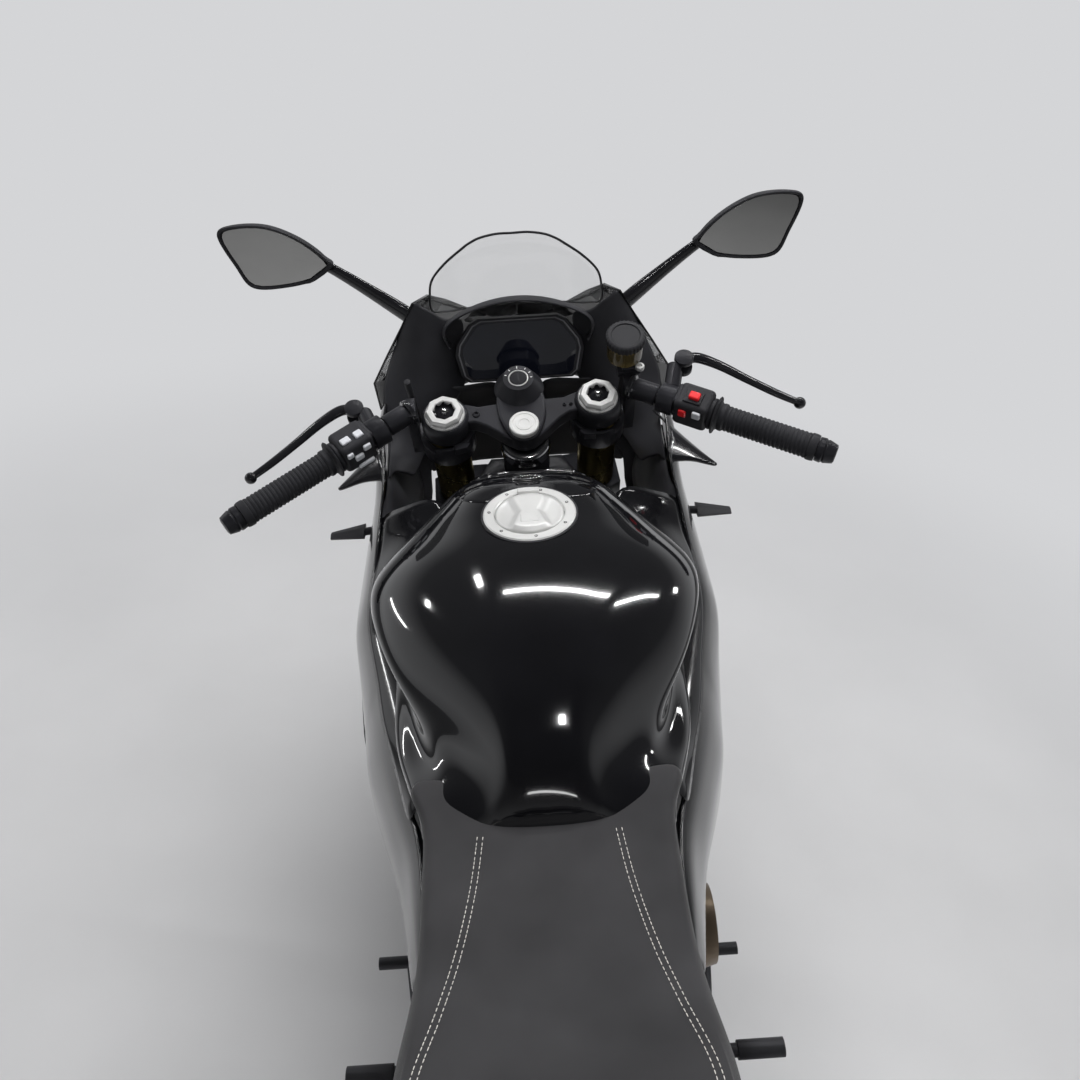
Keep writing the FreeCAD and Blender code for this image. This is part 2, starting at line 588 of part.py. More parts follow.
# Brake calipers straddle the discs behind the fork legs
calipers = []
for side in (-1, 1):
    centre = Vector(side * val("front_disc_gap") / 2, offset - 116, AXLE_HEIGHT + 82)
    body = block(centre + Vector(side * 9, 0, 0), (62, 54, 96), Rotation(Vector(1, 0, 0), -35))
    slot = rod(Vector(centre.x - val("disc_wall") / 2 - 2, offset, AXLE_HEIGHT), Vector(1, 0, 0),
               "front_disc_radius + 4", "disc_wall + 4")
    trim = block(Vector(side * 106, -8, AXLE_HEIGHT + 72), (60, 70.6, 200))
    along_body = Vector(0, math.sin(math.radians(35)), math.cos(math.radians(35)))
    covers = [rod(centre + Vector(side * 38, 0, 0) + along_body * reach, Vector(side, 0, 0), "axle_radius + 6", "7")
              for reach in (-23, 23)]
    calipers.append(fused(less(body, slot, trim), *covers))
node(group(*calipers), "front_calipers", STEERED)

# Front mudguard: an arch turned about the axle, between the fork legs
arch_half = [(0, 20), (30, 17), (52, 6), (64, -14), (66, -40)]
ring = val("front_tyre_radius")
outer = [(x, ring + h) for x, h in arch_half]
inner = [(max(x - 3, 0), ring + h - (3 if x < 50 else 0)) for x, h in arch_half]
band = ([(-x, r) for x, r in outer[:0:-1]] + outer + inner[::-1] + [(-x, r) for x, r in inner[1:]])
section = Part.Face(loop([Vector(x, 0, r) for x, r in band]))
guard = section.revolve(Vector(), Vector(1, 0, 0), 120)
guard.rotate(Vector(), Vector(1, 0, 0), -42)
guard.translate(Vector(0, offset, AXLE_HEIGHT))
tabs = [block(Vector(side * 73.5, 34, AXLE_HEIGHT + 268), (17, 34, 50)) for side in (-1, 1)]
guard_holes = [rod(Vector(side * spread, offset, AXLE_HEIGHT + 200), UP, "fork_top_radius + running_gap + 3",
                   "160") for side in (-1, 1)]
node(less(fused(feature(guard, "guard"), *tabs), *guard_holes), "front_mudguard", STEERED)

# Brake hoses run down outside the fork legs to the calipers
hoses = []
for side in (-1, 1):
    route = [Vector(side * x, y, z) for x, y, z in ((150, 86, yoke_top + 14), (146, 90, yoke_top - 82),
                                                    (122, 88, lower_yoke),
                                                    (146, 52, 690), (136, -12, 580), (99.4, -73, 449.7))]
    hoses.append(feature(pipe(route, 4.5), "hose"))
node(group(*hoses), "brake_hoses", STEERED)

# The side fairing's sections: y, then the outer (x, z) points from top to bottom
side_table = [
    (610, [(205, 900), (220, 850), (219, 800), (208, 740), (190, 690), (172, 640), (150, 590)]),
    (520, [(205, 905), (228, 830), (222, 770), (206, 700), (186, 630), (168, 560), (140, 490)]),
    (400, [(202, 850), (236, 750), (240, 660), (226, 550), (202, 420), (168, 300), (140, 230)]),
    (200, [(205, 812), (236, 745), (227, 650), (204, 530), (182, 400), (150, 260), (100, 180)]),
    (0, [(176, 792), (205, 710), (205, 650), (192, 560), (174, 430), (146, 290), (100, 190)]),
    (-160, [(128, 790), (152, 730), (156, 680), (152, 600), (146, 500), (132, 400), (110, 300)]),
]

# Frame: the head tube, two spars and the pivot plates
head_low = lower_yoke + val("lower_yoke_wall") / 2 + val("yoke_clearance")
head_high = yoke_top - val("yoke_wall") - val("yoke_clearance")
head = rod(Vector(0, 0, head_low), UP, "headstock_radius",
           "yoke_spacing - yoke_wall - lower_yoke_wall / 2 - yoke_clearance * 2")
STAY = Vector(0, 98, (head_low + head_high) / 2 - 18.5)
stay = block(STAY, (56, 140, 72))
head_bore = rod(Vector(0, 0, head_low - 20), UP, "stem_radius + axle_clearance", "200")
head_piece = less(fused(head, stay), head_bore)
head_piece.Placement = FORK_FRAME.multiply(head_piece.Placement)
DISPLAY = Placement(Vector(0, 560, 906), Rotation(Vector(1, 0, 0), -15.7))
display_room = block(Vector(0, 12, 46), (220, 24.6, 92.6))
display_room.Placement = DISPLAY.multiply(display_room.Placement)
head_piece = less(head_piece, display_room)


def beam(stations):
    """A rectangular tube's outside by stations: y, x inner, x outer, z low, z high."""
    wires = [loop([Vector(a, y, c), Vector(b, y, c), Vector(b, y, d), Vector(a, y, d)])
             for y, a, b, c, d in stations]
    return Part.makeLoft(wires, True, True)


spar_table = [(440, 22, 50, 762, 846), (380, 48, 84, 742, 830), (320, 92, 130, 716, 792),
              (180, 118, 156, 664, 746), (40, 128, 166, 600, 698), (-80, 122, 160, 500, 640),
              (-120, 117, 142, 440, 610)]
spar = beam(spar_table)
plate_outline = [(-96, 610), (-82, 540), (-118, 498), (-122, 380), (-114, 320), (-118, 262), (-176, 262),
                 (-196, 340), (-186, 470), (-160, 600)]
frame_parts = [head_piece, feature(spar, "spar"), feature(mirrored(spar), "spar")]
for side in (-1, 1):
    shape = rounded_slab(plate_outline, val("plate_inner_x"), val("plate_inner_x") + val("plate_wall"), 14)
    frame_parts.append(feature(shape if side > 0 else mirrored(shape), "pivot_plate"))
SHOCK_TOP = Vector(0, -172, 560)
frame_parts.append(rod(SHOCK_TOP - Vector(120, 0, 0), Vector(1, 0, 0), "axle_radius + 4", "240"))
for side in (-1, 1):
    frame_parts.append(block(Vector(side * 124, 210, 640), (12, 40, 80)))
    frame_parts.append(block(Vector(side * 137, 193, 759.7), (22, 14, 43.8)))
    for y, z, inner_x in ((180, 704, 150), (14, 652, 160)):
        bracket = rod(Vector(side * inner_x, y, z), Vector(side, 0, 0), "axle_radius - 2", "88")
        room = skin(side_table, val("panel_wall") + gap, side, 60)
        frame_parts.append(less(bracket, feature(room, "fairing_room")))
PIVOT_AT = Vector(0, val("swingarm_pivot_y"), val("swingarm_pivot_z"))
frame_parts.append(rod(PIVOT_AT - Vector(140, 0, 0), Vector(1, 0, 0), "axle_radius", "280"))

# The side stand hangs from a lug under the left plate; its leg swings back and up to stow.
STAND_PIVOT = Vector(val("stand_pivot_x"), val("stand_pivot_y"), val("stand_pivot_z"))
FOOT_AT = REST.inverse().multVec(Vector(val("stand_foot_x"), val("stand_foot_y"), val("stand_foot_wall")))
STAND_DOWN = (FOOT_AT - STAND_PIVOT).normalize()
STAND_BACK = Vector(-0.30, -0.953, 0.03).normalize()
STAND_AXIS = STAND_DOWN.cross(STAND_BACK).normalize()
lug = rod(STAND_PIVOT - STAND_AXIS * 22.3, STAND_AXIS, "stand_radius + 7", "12")
pin = rod(STAND_PIVOT - STAND_AXIS * 22, STAND_AXIS, "axle_radius / 2", "36")
pin_head = rod(STAND_PIVOT + STAND_AXIS * 10.3, STAND_AXIS, "axle_radius", "5")
lug_middle = STAND_PIVOT - STAND_AXIS * 16.3
knee = lug_middle + Vector(0.415, -0.567, 0.708) * 30
frame_parts += [lug, pin, pin_head, rod_between(lug_middle, knee, "stand_radius - 3"),
                rod_between(knee, Vector(-124, -148, 286), "stand_radius - 2")]
node(fused(*frame_parts), "frame", REST)

eye = rod(STAND_PIVOT - STAND_AXIS * 10, STAND_AXIS, "stand_radius + 6", "20")
leg = rod_between(STAND_PIVOT, FOOT_AT, "stand_radius")
pad = doc.addObject("Part::Box", "pad")
pad.Length, pad.Width = 62, 50
bind(pad, Height="stand_foot_wall")
pad.Placement = REST.inverse().multiply(Placement(Vector(val("stand_foot_x") - 34, val("stand_foot_y") - 25, 0),
                                                  Rotation()))
tang = rod_between(STAND_PIVOT + STAND_DOWN * 130, STAND_PIVOT + STAND_DOWN * 130 + STAND_BACK * -34, "stand_radius / 2")
eye_bore = rod(STAND_PIVOT - STAND_AXIS * 20, STAND_AXIS, "axle_radius / 2 + axle_clearance", "40")
node(less(fused(eye, leg, pad, tang), eye_bore), "side_stand", REST)

# Swing arm: two arms, a cross brace and the pivot tube
left_arm = [(-130, -90, -58, 325, 395), (-230, -92, -62, 314, 392), (-350, -138, -98, 302, 382),
            (-430, -140, -118, 290, 368), (-700, -140, -118, 288, 342), (-752, -140, -118, 296, 334)]
right_arm = [(y, -b, -a, c, d) for y, a, b, c, d in left_arm]
brace = block(Vector(0, -296, 354), (188, 44, 56))
tube = rod(PIVOT_AT - Vector(92, 0, 0), Vector(1, 0, 0), "axle_radius + 22", "184")
holes = [rod(PIVOT_AT - Vector(150, 0, 0), Vector(1, 0, 0), "axle_radius + axle_clearance", "300"),
         rod(REAR_AXLE - Vector(160, 0, 0), Vector(1, 0, 0), "axle_radius + axle_clearance", "320")]
node(less(fused(feature(beam(left_arm), "arm"), feature(beam(right_arm), "arm"), brace, tube), *holes),
     "swingarm", REST)


def hull(stations, grow=0.0):
    """A closed solid from stations: y and the right half's (x, z) points from the top centre down."""
    wires = []
    for y, half in stations:
        points = [(x, z) for x, z in half] + [(-x, z) for x, z in half[::-1] if abs(x) > 1e-6]
        if grow:
            cx, cz = 0, sum(z for _, z in points) / len(points)
            points = [(x + grow * (1 if x > cx else -1 if x < cx else 0), z + grow * (1 if z > cz else -1))
                      for x, z in points]
        wires.append(loop([Vector(x, y, z) for x, z in points]))
    return Part.makeLoft(wires, True, True)


def arch(stations, wall, grow=0.0):
    """A bent sheet across the bike: y and the right half's outer (x, z) points from the top centre down."""
    wires = []
    for y, half in stations:
        outer = [(-x, z) for x, z in half[::-1] if abs(x) > 1e-6] + list(half)
        edge, inner = [], []
        for i, (x, z) in enumerate(outer):
            before, after = outer[max(i - 1, 0)], outer[min(i + 1, len(outer) - 1)]
            run = Vector(after[0] - before[0], 0, after[1] - before[1]).normalize()
            edge.append((x - run.z * grow, z + run.x * grow))
            inner.append((x + run.z * (wall + grow), z - run.x * (wall + grow)))
        wires.append(loop([Vector(x, y, z) for x, z in edge + inner[::-1]]))
    return Part.makeLoft(wires, True, True)


# Tank: sections from the steering head to the seat
tank_table = [
    (300, [(0, 906), (40, 905), (70, 897), (88, 874), (94, 850), (94, 832), (92, 816), (88, 804), (0, 800)]),
    (252, [(0, 924), (50, 923), (82, 918), (110, 898), (132, 868), (137, 845), (134, 822), (128, 800), (0, 788)]),
    (184, [(0, 926), (52, 926), (84, 923), (130, 908), (170, 876), (177, 848), (166, 816), (160, 785), (0, 768)]),
    (125, [(0, 927), (50, 928), (84, 929), (140, 914), (182, 880), (185, 852), (166, 816), (164, 775), (0, 752)]),
    (60, [(0, 925), (46, 926), (77, 928), (130, 916), (168, 884), (171, 858), (151, 822), (158, 780), (0, 738)]),
    (0, [(0, 916), (38, 917), (64, 918), (105, 905), (143, 870), (148, 848), (138, 818), (148, 785), (0, 736)]),
    (-50, [(0, 902), (32, 902), (51, 902), (82, 888), (112, 854), (122, 832), (128, 812), (132, 790), (0, 738)]),
    (-90, [(0, 887), (26, 887), (42, 886), (64, 868), (84, 842), (98, 826), (108, 812), (112, 790), (0, 744)]),
    (-125, [(0, 869), (24, 869), (38, 867), (54, 850), (70, 834), (82, 824), (92, 812), (96, 790), (0, 748)]),
    (-164, [(0, 824), (24, 823), (40, 820), (52, 812), (62, 804), (70, 796), (75, 786), (77, 772), (0, 752)]),
]
FILLER = Vector(0, 184, 0)
ring_top = 927
tank_shape = feature(hull(tank_table), "tank_form")
cover_outline = [(212, 920), (306, 900), (306, 980), (212, 980)]
cover_zone = feature(slab(cover_outline, -96, 96), "cover_zone")
cover = doc.addObject("Part::Common", "cover")
cover.Base, cover.Tool = tank_shape, cover_zone
ring_room = rod(FILLER + Vector(0, 0, ring_top - 30), UP, "tank_ring_radius + cap_gap", "80")
node(less(cover, ring_room), "tank_cover", REST)
cover_room = feature(slab([(211.7, 919.7), (306, 899.7), (306, 980), (211.7, 980)], -96.3, 96.3), "cover_room")
tank_copy = feature(hull(tank_table), "tank_form")
seat_for_ring = rod(FILLER + Vector(0, 0, ring_top - 8), UP, "tank_ring_radius + cap_gap", "80")
cap_room = rod(FILLER + Vector(0, 0, ring_top - 16), UP, "tank_cap_radius + 1", "40")
neck = rod(FILLER + Vector(0, 0, ring_top - 60), UP, "filler_bore_radius", "filler_depth")
node(less(tank_copy, cover_room, seat_for_ring, cap_room, neck), "tank", REST)

ring = rod(FILLER + Vector(0, 0, ring_top - 8), UP, "tank_ring_radius", "8")
opening = rod(FILLER + Vector(0, 0, ring_top - 20), UP, "tank_cap_radius + cap_gap", "40")
HINGE = FILLER + Vector(0, val("tank_cap_radius") + 5, ring_top + 5)
ears = [block(HINGE + Vector(x, 1, -2), (5, 9, 12)) for x in (-17, 17)]
pin = rod(HINGE - Vector(19, 0, 0), Vector(1, 0, 0), "axle_radius / 5", "38")
node(fused(less(ring, opening), *ears, pin), "filler_ring", REST)
lid = rod(FILLER + Vector(0, 0, ring_top - 7), UP, "tank_cap_radius", "cap_wall")
knuckle = rod(HINGE - Vector(14, 0, 0), Vector(1, 0, 0), "axle_radius / 5 + 2", "28")
tongue = block(HINGE + Vector(0, -8, -1), (24, 16, 5))
key_flap = block(FILLER + Vector(0, -8, ring_top + 1.5), (22, 30, 5))
plug = rod(FILLER + Vector(0, 0, ring_top - 15), UP, "filler_bore_radius - 3", "8")
lid_tie = block(FILLER + Vector(0, val("tank_cap_radius") - 7, ring_top + 1), (24, 11, 4))
hinge_bore = rod(HINGE - Vector(30, 0, 0), Vector(1, 0, 0), "axle_radius / 5 + axle_clearance", "60")
node(less(fused(lid, knuckle, tongue, key_flap, plug, lid_tie), hinge_bore), "fuel_cap", REST)

# Seats, tail and rear end
seat_table = [
    (-172, [(0, 817), (52, 820), (86, 832), (96, 806), (90, 782), (0, 776)]),
    (-230, [(0, 811), (64, 816), (102, 814), (112, 786), (104, 772), (0, 768)]),
    (-300, [(0, 812), (80, 819), (110, 814), (118, 790), (108, 774), (0, 770)]),
    (-393, [(0, 826), (100, 832), (124, 824), (130, 800), (118, 784), (0, 780)]),
    (-470, [(0, 846), (98, 848), (124, 838), (130, 816), (118, 800), (0, 796)]),
]
horn_table = [(-176, 82, 98, 784, 833), (-140, 96, 124, 800, 840), (-100, 112, 134, 812, 834)]
horn = beam(horn_table)
tank_grown = feature(hull(tank_table, val("seat_clearance")), "tank_room")
node(less(fused(feature(hull(seat_table), "cushion"), feature(horn, "horn"), feature(mirrored(horn), "horn")),
          tank_grown), "rider_seat", REST)
pillion_table = [
    (-560, [(0, 934), (60, 930), (84, 918), (82, 905.3), (0, 905.3)]),
    (-600, [(0, 956), (70, 953), (100, 938), (98, 918.3), (0, 918.3)]),
    (-700, [(0, 966), (68, 962), (94, 948), (90, 931.3), (0, 931.3)]),
    (-800, [(0, 962), (46, 960), (66, 950), (62, 938.3), (0, 938.3)]),
]
node(feature(hull(pillion_table), "pillion"), "pillion_seat", REST)
tail_table = [
    (-478, [(0, 866), (60, 866), (104, 858), (130, 836), (126, 800)]),
    (-560, [(0, 905), (60, 904), (96, 894), (122, 862), (112, 815)]),
    (-600, [(0, 918), (66, 917), (98, 904), (118, 868), (104, 822)]),
    (-700, [(0, 931), (64, 930), (90, 918), (104, 886), (84, 844)]),
    (-800, [(0, 938), (44, 938), (62, 930), (76, 906), (60, 868)]),
    (-900, [(0, 946), (20, 945), (36, 936), (44, 920), (34, 896)]),
]
node(feature(arch(tail_table, val("panel_wall")), "tail_skin"), "tail_cowl", REST)
tail_lamp = block(Vector(0, -907.8, 926), (76, 15, 34))
tubes = []
RAIL = ((92, -124, 580), (88, -240, 694), (84, -430, 752), (60, -620, 812), (34, -800, 866))
for side in (-1, 1):
    upper = [flip(Vector(*p), side) for p in RAIL]
    tubes.append(feature(pipe(upper, 10), "rail"))
    lower = rod_between(flip(Vector(92, -150, 478), side), flip(Vector(82, -452, 764), side), "bar_radius - 2")
    tubes.append(lower)
    for y, z in ((-124, 580), (-150, 478)):
        tubes.append(rod(flip(Vector(84, y, z), side), Vector(side, 0, 0), "axle_radius + 5",
                         "plate_inner_x - running_gap - 84"))
ties = [rod(Vector(-100, -600, 820), Vector(1, 0, 0), "axle_radius", "200"),
        rod(Vector(-38, -780, 867), Vector(1, 0, 0), "axle_radius", "76"),
        rod(Vector(-84, -440, 762), Vector(1, 0, 0), "axle_radius", "168")]
pan = block(Vector(0, -640, 838), (90, 330, 8), Rotation(Vector(1, 0, 0), -15))
posts = [block(Vector(side * 84, -401, 762.2), (16, 14, 40.6)) for side in (-1, 1)]
node(fused(*tubes, *ties, pan, *posts), "subframe", REST)
hanger = slab([(-800, 862), (-880, 884), (-1000, 752), (-1040, 640), (-1020, 640), (-984, 738), (-870, 850)],
              -24, 24)
PLATE = Placement(Vector(0, -1032, 655), Rotation(Vector(1, 0, 0), -val("number_plate_tilt")))


def on_plate(made):
    made.Placement = PLATE.multiply(made.Placement)
    return made


plate_arm = on_plate(block(Vector(0, 6.5, 0), (70, 10, 130)))
plate_room = on_plate(block(Vector(0, -48.5, 0), (300, 100, 300)))
node(less(fused(feature(hanger, "hanger"), plate_arm), plate_room), "plate_hanger", REST)
number_plate = block(Vector(0, 0, 0), (val("number_plate_width"), 3, val("number_plate_height")))
node(on_plate(number_plate), "number_plate", REST)
lamps = []
for side in (-1, 1):
    stem = rod_between(Vector(side * 24.6, -975, 752), Vector(side * 92, -980, 752), "bar_radius / 2")
    lamps += [fused(stem, cone_between(Vector(side * 78, -980, 752), Vector(side * 140, -986, 752), 14, 9))]

# Engine block with its side covers, radiator, exhaust
wide = val("engine_half_width")
engine_parts = [feature(slab(outline, left, right), "engine_part") for outline, left, right in (
    ([(-96, 262), (-96, 430), (-30, 482), (20, 500), (20, 262)], -88, 92),
    ([(20, 330), (20, 500), (50, 560), (276, 560), (290, 540), (240, 452), (286, 400), (286, 330)], -wide, wide),
    ([(-96, 240), (-96, 331), (286, 331), (286, 262), (250, 235), (-40, 235)], -88, 88),
    ([(50, 559), (84, 640), (268, 640), (292, 559)], -112, 112))]
for side in (-1, 1):
    engine_parts.append(rod(Vector(side * 100, 210, 622), Vector(side, 0, 0), "axle_radius + 2", "17.7"))
engine_parts.append(rod(Vector(-val("plate_inner_x") + gap, -106, 290), Vector(1, 0, 0), "axle_radius + 2",
                        "(plate_inner_x - running_gap) * 2"))
front_centre, rear_centre = Vector(0, -52, 372), REAR_AXLE
drive_plate = toothed(val("drive_sprocket_radius"), -val("sprocket_place") - val("sprocket_wall"),
                      -val("sprocket_place") + val("sprocket_wall"))
engine_parts.append(feature(drive_plate.translated(front_centre), "drive_sprocket"))
engine_parts.append(rod(front_centre - Vector(val("sprocket_place") + 14, 0, 0), Vector(1, 0, 0), "axle_radius",
                        "40"))
node(fused(*engine_parts), "engine", REST)


def side_cover(y, z, side, base, reach, radius):
    """A round engine cover with a stepped, chamfered face."""
    wide = doc.addObject("Part::Cylinder", "cover")
    wide.Radius, wide.Height = radius, reach * 0.6
    taper = doc.addObject("Part::Cone", "cover_face")
    taper.Radius1, taper.Radius2, taper.Height = radius - 3, radius - 14, reach * 0.4
    wide.Placement = Placement(Vector(side * base, y, z), turn_to(Vector(side, 0, 0)))
    taper.Placement = Placement(Vector(side * (base + reach * 0.6), y, z), turn_to(Vector(side, 0, 0)))
    return fused(wide, taper)


clutch_at = (-44, 434)
node(group(side_cover(*clutch_at, 1, 92, 104, 62), side_cover(76, 422, -1, wide, 26, 47)), "engine_covers", REST)
core = block(Vector(0, 376, 566), (300, 26, 250), Rotation(Vector(1, 0, 0), -8))
tanks = [block(Vector(s * 158, 376, 566), (16, 34, 262), Rotation(Vector(1, 0, 0), -8)) for s in (-1, 1)]
tabs = [block(Vector(s * 66, 388, 712), (14, 12, 59.4)) for s in (-1, 1)]
node(fused(core, *tanks, *tabs), "radiator", REST)
pipes = []
for x in (-105, -35, 35, 105):
    route = [Vector(x, 250, 530), Vector(x, 312, 482), Vector(x * 0.95, 312, 330), Vector(x * 0.66, 292, 222),
             Vector(x * 0.5, 150, 202), Vector(x * 0.22 + 30, 20, 204)]
    pipes.append(feature(pipe(route, 17), "header"))
MUFFLER = Vector(val("muffler_x"), -322, 272)
tail_route = [Vector(30, 40, 204), Vector(50, -120, 200), Vector(160, -224, 226), MUFFLER - Vector(2, 8, 2)]
collector = feature(pipe(tail_route, 30), "collector")
engine_room = fused(*[feature(part.Shape if part.TypeId == "Part::Feature" else part.Shape, "engine_room")
                      for part in engine_parts[:4]])
node(less(fused(*pipes, collector), engine_room), "exhaust", REST)
can_axis = Vector(0.06, -0.93, 0.30).normalize()
can = rod(MUFFLER + can_axis * 20, can_axis, "axle_radius * 5.4", "300")
can_rear = cone_between(MUFFLER + can_axis * 320, MUFFLER + can_axis * 352, 54, 34)
can_front = cone_between(MUFFLER + can_axis * -6, MUFFLER + can_axis * 20, 36, 54)
outlet = rod(MUFFLER + can_axis * 300, can_axis, "axle_radius * 2.4", "90")
collector_room = feature(pipe(tail_route, 30.3), "collector_room")
node(less(fused(can, can_rear, can_front), outlet, collector_room), "muffler", REST)

# Chain: a closed band round both sprockets, the front one on the engine's shaft


def belt(r_front, r_rear, count, waist):
    """Face whose edge runs round both sprockets in a plane across the axles, with two points to each link.
    Every second point stands back by the waist."""
    gap_vector = rear_centre - front_centre
    reach, base = gap_vector.Length, math.atan2(gap_vector.z, gap_vector.y)
    half_front = math.acos((r_rear - r_front) / reach)
    half_rear = math.pi - half_front
    run = math.sqrt(reach**2 - (r_rear - r_front) ** 2)
    length = 2 * (run + r_rear * half_rear + r_front * half_front)
    spots = []
    for k in range(2 * count):
        s, away = length * k / (2 * count), waist * (k % 2)
        if s < 2 * r_rear * half_rear:
            turn, centre, radius, slide = base - half_rear + s / r_rear, rear_centre, r_rear, 0
        elif s < 2 * r_rear * half_rear + run:
            turn, centre, radius, slide = base + half_rear, rear_centre, r_rear, s - 2 * r_rear * half_rear
        elif s < length - run:
            turn = base + half_rear + (s - 2 * r_rear * half_rear - run) / r_front
            centre, radius, slide = front_centre, r_front, 0
        else:
            turn, centre, radius, slide = base - half_rear, rear_centre, r_rear, s - length
        out = Vector(0, math.cos(turn), math.sin(turn))
        spots.append(centre + out * (radius - away) + Vector(0, -out.z, out.y) * slide)
    return Part.Face(loop(spots))


inner_front = val("drive_sprocket_radius") + val("chain_clearance")
inner_rear = val("sprocket_radius") + val("chain_clearance")
tall, waist = val("chain_height"), val("chain_waist")
half_tall = inner_rear + tall / 2
centre_line = belt(inner_front + tall / 2, half_tall, 60, 0)
links = round(centre_line.OuterWire.Length / val("chain_pitch"))
band = belt(inner_front + tall, inner_rear + tall, links, waist).extrude(Vector(val("chain_width"), 0, 0)).cut(
    belt(inner_front, inner_rear, links, -waist).extrude(Vector(val("chain_width"), 0, 0)))
chain = feature(band, "chain_band")
chain.Placement = Placement(Vector(-val("sprocket_place") - val("chain_width") / 2, 0, 0), Rotation())
node(chain, "chain", REST)

# Hugger, shock absorber, rear caliper
hugger_half = [(0, 14), (50, 6), (80, -16), (88, -34)]
ring_r = val("rear_tyre_radius")
outer = [(x, ring_r + h) for x, h in hugger_half]
inner = [(max(x - (3 if x > 60 else 0), 0), ring_r + h - (3 if x < 85 else 1)) for x, h in hugger_half]
band = [(-x, r) for x, r in outer[:0:-1]] + outer + inner[::-1] + [(-x, r) for x, r in inner[1:]]
guard = Part.Face(loop([Vector(x, 0, r) for x, r in band])).revolve(Vector(), Vector(1, 0, 0), 72)
guard.rotate(Vector(), Vector(1, 0, 0), -76)
guard.translate(REAR_AXLE)
feet = [block(Vector(side * x, -452, z), size) for side in (-1, 1)
        for x, z, size in ((110.75, 452, (52.5, 28, 12)), (129, 412.8, (16, 28, 90.4)))]
node(fused(feature(guard, "hugger_arch"), *feet), "rear_hugger", REST)
low_eye, high_eye = Vector(0, -232, 344), SHOCK_TOP
run = (high_eye - low_eye).normalize()
coil = rod_between(low_eye + run * 34, high_eye - run * 44, "fork_slider_radius + 9")
spine = rod_between(low_eye, high_eye - run * 14.5, "bar_radius")
node(fused(coil, spine), "rear_shock", REST)
caliper_at = REAR_AXLE + Vector(0, 82, 66)
body = block(caliper_at + Vector(val("rear_disc_place") + 3, 0, 0), (45, 50, 78), Rotation(Vector(1, 0, 0), 39))
slot = rod(REAR_AXLE + Vector(val("rear_disc_place") - val("disc_wall") / 2 - 1.5, 0, 0), Vector(1, 0, 0),
           "rear_disc_radius + 4", "disc_wall + 3")
node(less(body, slot), "rear_caliper", REST)

# Footrests with their plates, the shift lever and the brake pedal
rests = []
for side in (-1, 1):
    outline = [(-152, 456), (-116, 466), (-112, 438), (-150, 372), (-190, 366), (-212, 380), (-214, 430)]
    plate_shape = rounded_slab(outline, 153, 161, 12)
    parts_here = [feature(plate_shape if side > 0 else mirrored(plate_shape), "plate")]
    for y, z in ((-140, 444), (-178, 424)):
        parts_here.append(rod(Vector(side * (val("plate_inner_x") + val("plate_wall") + gap), y, z),
                              Vector(side, 0, 0), "axle_radius - 2", "14"))
    root = Vector(side * 156, val("peg_y"), val("peg_z"))
    parts_here.append(rod(root, Vector(side, 0, 0), "axle_radius - 2", "50"))
    parts_here.append(rod(Vector(side * 203, val("peg_y"), val("peg_z")), Vector(side, 0, 0), "bar_radius",
                          "peg_reach - 203"))
    tip = Vector(side * 196, -30, 346 if side > 0 else 366)
    lever = feature(pipe([Vector(side * 164, val("peg_y") + 4, 384), Vector(side * 186, -100, 350), tip], 6), "lever")
    parts_here += [lever, rod(tip, Vector(side, 0, 0), "axle_radius - 2", "42")]
    rests.append(fused(*parts_here))
    arm = pipe([Vector(side * 76, -500, 774), Vector(side * 112, -512, 700), Vector(side * 150, -540, 560)], 9)
    rail_room = pipe([flip(Vector(*p), side) for p in RAIL], 10.3)
    rests.append(fused(feature(arm.cut(rail_room), "arm"),
                       rod(Vector(side * 146, -540, 560), Vector(side, 0, 0), "bar_radius", "86")))
node(group(*rests), "footrests", REST)

# Fairing: each side is a skin cut to the panel's outline
panel_outline = [(600, 880), (540, 884), (420, 846), (300, 808), (100, 796), (-90, 786), (-150, 756), (-120, 700),
                 (40, 640), (70, 560), (60, 470), (150, 430), (330, 400), (385, 440), (405, 520), (445, 610),
                 (520, 680), (600, 740)]
panels = []
for side in (-1, 1):
    shell = feature(skin(side_table, val("panel_wall"), side), "side_skin")
    zone = feature(slab(panel_outline, *((60, 280) if side > 0 else (-280, -60))), "side_zone")
    panel = doc.addObject("Part::Common", "panel")
    panel.Base, panel.Tool = shell, zone
    blade = Part.makeLoft([loop([Vector(214, 500, 838), Vector(214, 420, 826), Vector(214, 422, 818),
                                 Vector(214, 500, 830)]),
                           loop([Vector(270, 436, 822), Vector(270, 424, 820), Vector(270, 424, 818),
                                 Vector(270, 436, 820)])], True, True)
    blade = blade.cut(skin(side_table, 30, 1).translated(Vector(-1, 0, 0)))
    panels.append(fused(panel, feature(blade if side > 0 else mirrored(blade), "winglet")))
node(group(*panels), "side_fairings", REST)
belly_table = [
    (372, [(0, 214), (70, 218), (122, 250), (152, 310), (166, 425)]),
    (200, [(0, 158), (66, 166), (122, 212), (154, 290), (184, 420)]),
    (60, [(0, 152), (60, 160), (114, 208), (150, 290), (176, 440)]),
    (-58, [(0, 160), (56, 168), (108, 214), (142, 296), (166, 420)]),
]


def trough(stations, wall):
    """A bent sheet under the bike: y and the right half's outer (x, z) points from the bottom centre up."""
    turned = [(y, [(x, -z) for x, z in half]) for y, half in stations]
    return arch(turned, wall).mirror(Vector(), Vector(0, 0, 1))


belly_zone = slab([(390, 100), (390, 436), (330, 396), (150, 425), (62, 462), (24, 366), (-60, 346), (-60, 100)],
                  -260, 260)
belly = doc.addObject("Part::Common", "belly")
belly.Base, belly.Tool = feature(trough(belly_table, val("panel_wall")), "belly_skin"), feature(belly_zone, "belly_zone")
node(belly, "belly_pan", REST)

